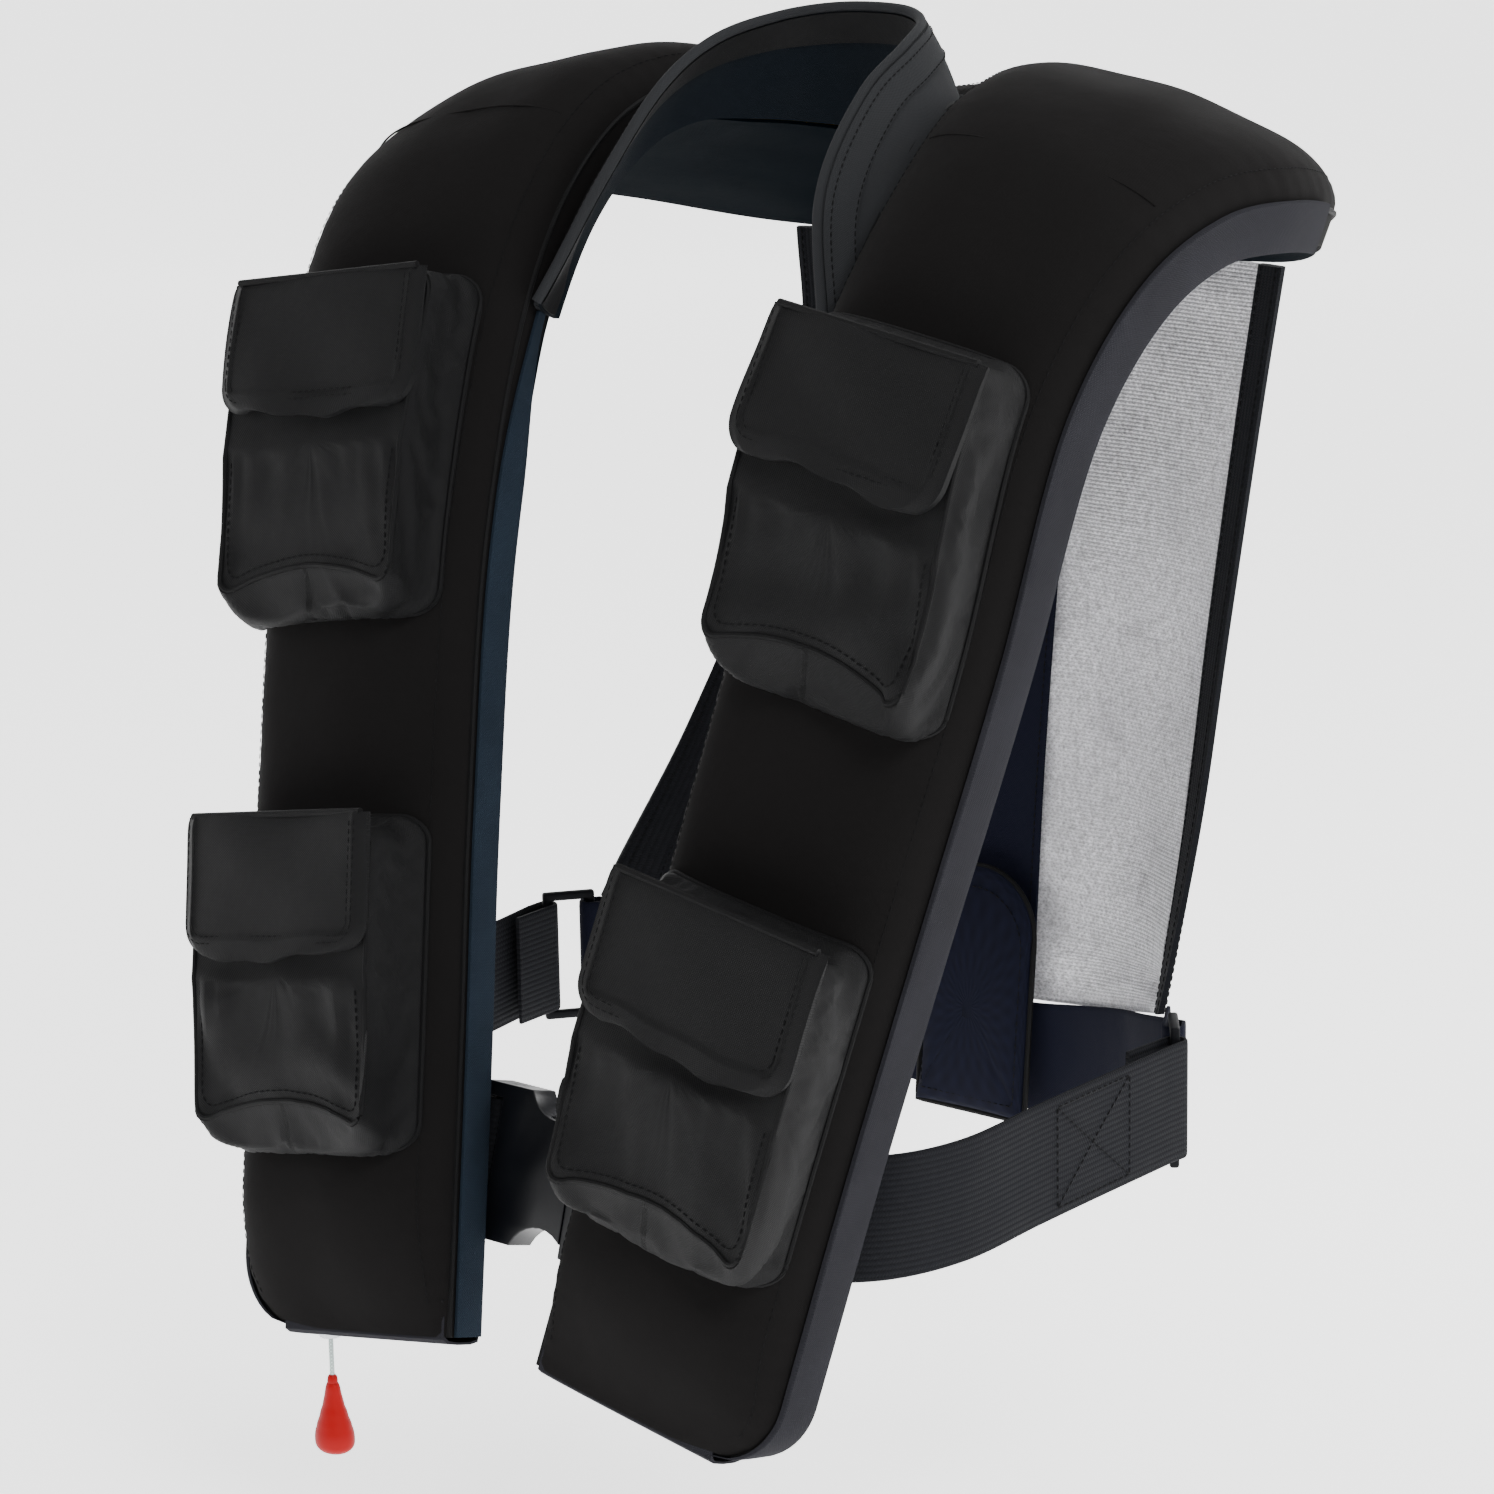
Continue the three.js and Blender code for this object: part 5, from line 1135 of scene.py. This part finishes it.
# ---------------------------------------------------------------- lumbar pad
def make_pad():
    up = unit(np.array([0, 0.098, 0.995]))
    inward = np.cross([1, 0, 0], up)
    centre = back_middle(0.985) + inward * 8
    half, tall, thick = 30.0, 112.0, 8.0
    outline = [(-half, -tall / 2), (half, -tall / 2)]
    angle = np.linspace(0, math.pi, 40)
    outline += list(zip(half * np.cos(angle), tall / 2 - half + half * np.sin(angle)))
    outline = resample(np.array([(x, y, 0) for x, y in outline]), 3.0, closed=True)[:-1, :2]
    insets = [(0, 3.0), (0, 5.0), (0.6, 6.3), (2.0, 7.2), (5, 7.6), (10, 7.8), (16, 7.9), (22, 8.0),
              (27, 8.0)]
    middle = np.array([0, -8.0])
    rings = []
    for face in (1, -1):
        side = []
        for inset, depth in insets:
            share = inset / 30
            flat = outline * (1 - share) + middle * share
            z = depth if face > 0 else thick - depth
            side.append(centre + flat[:, :1] * np.array([1, 0, 0]) + flat[:, 1:] * up + inward * z)
        rings.append(np.array(side))
    both = np.concatenate([rings[1][::-1], rings[0]])
    pad = ring_mesh("lumbar_pad_cushion", both, "navy_fabric", stands_for=["lumbar_pad"], sharp=70)
    ring_of = np.repeat(np.arange(len(both)), len(outline))
    edge_seam = np.abs(ring_of - len(both) / 2 + 0.5) < 1
    drape(pad, edge_seam, 4.0, 0.0, 0.0, 3.0)
    flat = outline * 0.86 + middle * 0.14
    seam = centre + flat[:, :1] * np.array([1, 0, 0]) + flat[:, 1:] * up
    stitches("lumbar_pad_stitching", [seam + inward * 8.0], slot="navy_fabric")
    rim = centre + outline[:, :1] * np.array([1, 0, 0]) + outline[:, 1:] * up + inward * 4
    tube("lumbar_pad_piping", rim, 1.3, "piping", 8, closed=True, slot="navy_fabric")


make_pad()


# ---------------------------------------------------------------- belts
UP = np.array([0, 0, 1.0])
LEAN = unit(np.array([0, 0.28, 0.96]))
LOOP_RADIUS = 4.0
RING_FORWARD = np.array([0.6, -0.8, 0])
FRONT_BAR, BACK_BAR = RING + RING_FORWARD * 10, RING - RING_FORWARD * 10
BELT_DEPTH = sum(box_mm("buckle_socket"))[1] / 2 + 8


def around_bar(bar, leave, up, tail):
    outward = unit(np.cross(up, leave))
    angle = np.linspace(-math.pi / 2, math.pi / 2, 20)[:, None]
    at = outward * np.sin(angle) - leave * np.cos(angle)
    points = bar + at * LOOP_RADIUS
    start = points[:1] + leave * np.linspace(tail, tail / 8, 8)[:, None]
    points = np.vstack([start, points])
    out = np.vstack([np.repeat(at[:1], 8, 0), at])
    return points, np.repeat(up[None], len(points), 0), out


def along_belt(points, up_first, up_last, count):
    t = np.linspace(0, 1, count)
    path = spline(points)(t)
    turn = smoothstep(t, 0.3, 0.8)[:, None]
    up = unit(up_first * (1 - turn) + up_last * turn)
    return path, up, unit(np.cross(up, np.gradient(path, axis=0)))


def joined(*runs):
    return tuple(np.vstack(parts) for parts in zip(*runs))


def flipped(run):
    return tuple(part[::-1] for part in run)


def mirrored(run):
    return tuple(part * MIRROR for part in run)


EDGE_PROFILE = np.array([-1, -0.975, -0.9, -0.6, -0.2, 0.2, 0.6, 0.9, 0.975, 1]) / 2
EDGE_THIN = np.array([0.45, 0.12, 0, 0, 0, 0, 0, 0, 0.12, 0.45])


def webbing(name, run, look, width=WEBBING_WIDTH, sway=0.0, **kinds):
    points, up, out = run
    wave = sway * np.sin(spans(points[None])[0] / 23)[:, None, None] * out[:, None]

    def face(depth):
        return (points[:, None] + up[:, None] * (EDGE_PROFILE * width)[None, :, None]
                + out[:, None] * (depth - math.copysign(1, depth) * EDGE_THIN)[None, :, None] + wave)
    half = WEBBING_THICKNESS / 2
    return sheet_mesh(name, face(half), face(-half), look, sharp=60, **kinds)


def box_stitch(run, first, last, side, width=WEBBING_WIDTH):
    """A sewn box with a cross in it, on one face of a belt between two of its stations."""
    points, up, out = run
    along = np.linspace(first, last, 12)
    edge = np.full(12, 0.42)
    corners = [(along, -edge), (along, edge), (np.full(12, first), np.linspace(-0.42, 0.42, 12)),
               (np.full(12, last), np.linspace(-0.42, 0.42, 12)),
               (along, np.linspace(-0.42, 0.42, 12)), (along, np.linspace(0.42, -0.42, 12))]
    index = np.arange(len(points))

    def at(place, share):
        p, q, r = (np.stack([np.interp(place, index, part[:, i]) for i in range(3)], -1)
                   for part in (points, up, out))
        return p + q * share[:, None] * width + r * side * (WEBBING_THICKNESS / 2 + 0.15)
    return [at(place, share) for place, share in corners]


def belt_place(across, back, up):
    return NECK_SIDE + across, BELT_DEPTH + back, BELT_HEIGHT + up


def front_run(last_points):
    """The belt from a side ring forward, to the points its front end takes."""
    leave = unit(np.array([-0.06, -0.998, 0]))
    loop = around_bar(FRONT_BAR, leave, UP, 26)
    points = [loop[0][-1] + leave * 8, *(belt_place(*offsets) for offsets in (
        (90, 85, 15), (84, 40, 11), (70, 13, 9), (46, 0, 7))), *last_points]
    return loop, along_belt(points, UP, LEAN, 110)


BUCKLE = np.array([0, BELT_DEPTH - 8, BELT_HEIGHT])
BUCKLE_OUT = np.cross([1.0, 0, 0], LEAN)


def buckle_point(x, y, z):
    return BUCKLE + np.array([1.0, 0, 0]) * x + LEAN * y + BUCKLE_OUT * z


def make_belts():
    x_axis = np.array([1.0, 0, 0])
    socket_bar, plug_bar = buckle_point(-40, 0, 0), buckle_point(40.4, 0, 0)
    left_loop, left_run = front_run([belt_place(14, 0, 4), (plug_bar[0] + 8, BELT_DEPTH, BELT_HEIGHT + 1)])
    left = joined(left_loop, left_run)
    belt = webbing("front_belt_left_webbing", left, "webbing", sway=0.3, body=None,
                   stands_for=["front_belt_left"])
    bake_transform(belt)
    fold = around_bar(plug_bar, x_axis, LEAN, 22)
    end = (fold[0][-1:] + x_axis * np.linspace(6, 42, 10)[:, None], np.repeat(LEAN[None], 10, 0),
           np.repeat(fold[2][-1:], 10, 0))
    plug = joined(fold, end)
    webbing("plug_webbing_loop", plug, "webbing", body="plug", stands_for=["plug_webbing"])
    stitches("plug_webbing_stitching", box_stitch(plug, 30, 35, 1), body="plug", slot="webbing")
    socket_fold = around_bar(socket_bar * MIRROR, x_axis, LEAN, 26)
    out = socket_fold[0][-1]
    right_loop, right_run = front_run([belt_place(10, 0, 4), (out[0] + 24, out[1], out[2]),
                                       (out[0] + 4, out[1], out[2])])
    right = mirrored(joined(right_loop, right_run, flipped(socket_fold)))
    webbing("front_belt_right_webbing", right, "webbing", stands_for=["front_belt_right"])
    stitches("front_belt_stitching", box_stitch(left, 34, 44, 1) + box_stitch(right, 34, 44, 1)
             + box_stitch(right, 126, 134, 1), slot="webbing")

    leave = np.array([-0.5, 0.866, 0])
    loop = around_bar(BACK_BAR, leave, -UP, 26)
    points = []
    for u in (0.82, 0.6, 0.36, 0.15):
        point = back_points(u, 1.0, 4.0)
        point[2] = MIDDLE_HEIGHT + (RING[2] - MIDDLE_HEIGHT) * u ** 1.6
        points.append(point)
    half = np.array([loop[0][-1] + leave * 6, *points])
    middle = along_belt(np.vstack([half, half[::-1] * MIRROR]), -UP, -UP, 200)
    back = joined(loop, middle, flipped(mirrored(loop)))
    webbing("back_belt_webbing", back, "navy_fabric", stands_for=["back_belt"])
    stitches("back_belt_stitching", box_stitch(back, 34, 46, 1) + box_stitch(back, 208, 220, 1),
             slot="navy_fabric")


make_belts()


def make_keepers():
    """Tape tunnels behind each front lobe that hold the belt."""
    high, deep, reach = -9.4, -28.0, WEBBING_WIDTH / 2 + 9
    path = spline([(reach + 13, high, 0), (reach + 4, high - 1, 0), (reach, deep + 4, 0),
                   (reach - 4, deep, 0), (4 - reach, deep, 0), (-reach, deep + 4, 0),
                   (-reach - 4, high - 1, 0), (-reach - 13, high, 0)])
    run = path(np.linspace(0, 1, 60))
    normal = unit(np.stack([-np.gradient(run[:, 1]), np.gradient(run[:, 0])], -1))
    foot, half_width, half_thick = 86, 15, 0.6
    for part in ("left", "right"):
        def face(side):
            rows = Stations(side_station(part, foot + run[:, 0] + side * normal[:, 0] * half_thick))
            w = rows.width[:, None] / 2 + half_width * np.linspace(-1, 1, 7)
            return rows.place(w, np.repeat((run[:, 1] + side * normal[:, 1] * half_thick)[:, None], 7, 1))
        sheet_mesh(f"belt_keeper_{part}_tape", face(1), face(-1), "webbing",
                   stands_for=[f"belt_keeper_{part}"])


make_keepers()


# ---------------------------------------------------------------- hard parts
def softened(node, width, look, body):
    """A CAD part's own shape with its edges rounded as they come out of a mould."""
    data = NODES[node].data.copy()
    obj = linked(f"{node}_moulding", data)
    shape = bmesh.new()
    shape.from_mesh(data)
    bmesh.ops.remove_doubles(shape, verts=shape.verts, dist=1e-5)
    bmesh.ops.dissolve_limit(shape, angle_limit=math.radians(1.5), verts=shape.verts, edges=shape.edges)
    shape.to_mesh(data)
    shape.free()
    bevel = obj.modifiers.new("edges", "BEVEL")
    bevel.width = width * MM
    bevel.segments = 3
    bevel.limit_method = "ANGLE"
    bevel.angle_limit = math.radians(32)
    bevel.use_clamp_overlap = True
    bake(obj)
    return finish_piece(obj, look, body, [node], sharp=50)


def carried_over():
    """Moulded and metal parts keep the CAD's shape, as do the parts inside the cover."""
    for node, width, look, body in (
            ("side_ring_left", 1.2, "ring_metal", "root"), ("side_ring_right", 1.2, "ring_metal", "root"),
            ("buckle_socket", 1.3, "black_plastic", "root"), ("buckle_plug", 1.1, "black_plastic", "plug"),
            ("release_arm_upper", 0.8, "black_plastic", "arm_upper"),
            ("release_arm_lower", 0.8, "black_plastic", "arm_lower"),
            ("inflator_head", 1.6, "black_plastic", "root"), ("firing_lever", 0.8, "red_plastic", "lever"),
            ("whistle", 1.0, "whistle_plastic", "root"), ("hem_grommet", 0.7, "steel", "root")):
        softened(node, width, look, body)
    for node, obj in NODES.items():
        if obj.hide_render:
            continue
        obj.data.materials.clear()
        obj.data.materials.append(LOOKS[SLOTS[node]])
        if "cloth" not in obj.data.uv_layers:
            co = np.array([v.co for v in obj.data.vertices], float)
            lay_cloth(obj, co[:, [0, 2]])
        obj.data.shade_smooth()
        obj.data.set_sharp_from_angle(angle=math.radians(35))


carried_over()


# ---------------------------------------------------------------- floor and light
FLOOR_BELOW = 0.06                # under the knob, metres
FLOOR_GLOW = 1.7
WORLD_LIGHT = 0.42
LAMPS_FACE = (0, 0, -0.25)


def make_stage():
    """A seamless white floor that curves up behind the jacket, and four lamps."""
    ground = CAD_BOX[0][2] - FLOOR_BELOW
    size, curve = 4.0, 1.2
    angle = np.linspace(0, math.pi / 2, 24)
    run = [(-size, 0.0), (size, 0.0)]
    run += [(size + curve * math.sin(a), curve * (1 - math.cos(a))) for a in angle[1:]]
    run += [(size + curve, curve + 3)]
    facing = Vector((-math.sin(math.radians(40)), math.cos(math.radians(40)), 0))
    across = Vector((facing.y, -facing.x, 0))
    points, faces = [], []
    for forward, height in run:
        for side in (-6, 6):
            points.append(Vector((0, 0, ground + height)) + facing * forward + across * side)
    for i in range(len(run) - 1):
        faces.append((2 * i, 2 * i + 1, 2 * i + 3, 2 * i + 2))
    data = bpy.data.meshes.new("floor")
    data.from_pydata(points, [], faces)
    floor = linked("floor", data)
    data.shade_smooth()
    g = Graph("floor")
    g.shader.inputs["Base Color"].default_value = (0.9, 0.9, 0.9, 1)
    g.shader.inputs["Roughness"].default_value = 0.9
    g.shader.inputs["Emission Color"].default_value = (1, 1, 1, 1)
    g.shader.inputs["Emission Strength"].default_value = FLOOR_GLOW
    data.materials.append(g.material)

    world = bpy.data.worlds.new("studio")
    world.use_nodes = True
    world.node_tree.nodes["Background"].inputs[0].default_value = (1, 1, 1, 1)
    world.node_tree.nodes["Background"].inputs[1].default_value = WORLD_LIGHT
    bpy.context.scene.world = world
    for name, place, power, spread in (
            ("key", (2.1, -1.2, 1.6), 62, 0.9), ("fill", (-1.9, -1.4, 0.5), 12, 1.6),
            ("back", (1.4, 1.7, 1.1), 44, 1.2), ("top", (0, 0, 1.9), 26, 1.6)):
        light = bpy.data.lights.new(name, "AREA")
        light.energy = power
        light.size = spread
        lamp = linked(name, light)
        lamp.location = place
        lamp.rotation_euler = (Vector(LAMPS_FACE) - Vector(place)).to_track_quat("-Z", "Y").to_euler()


make_stage()
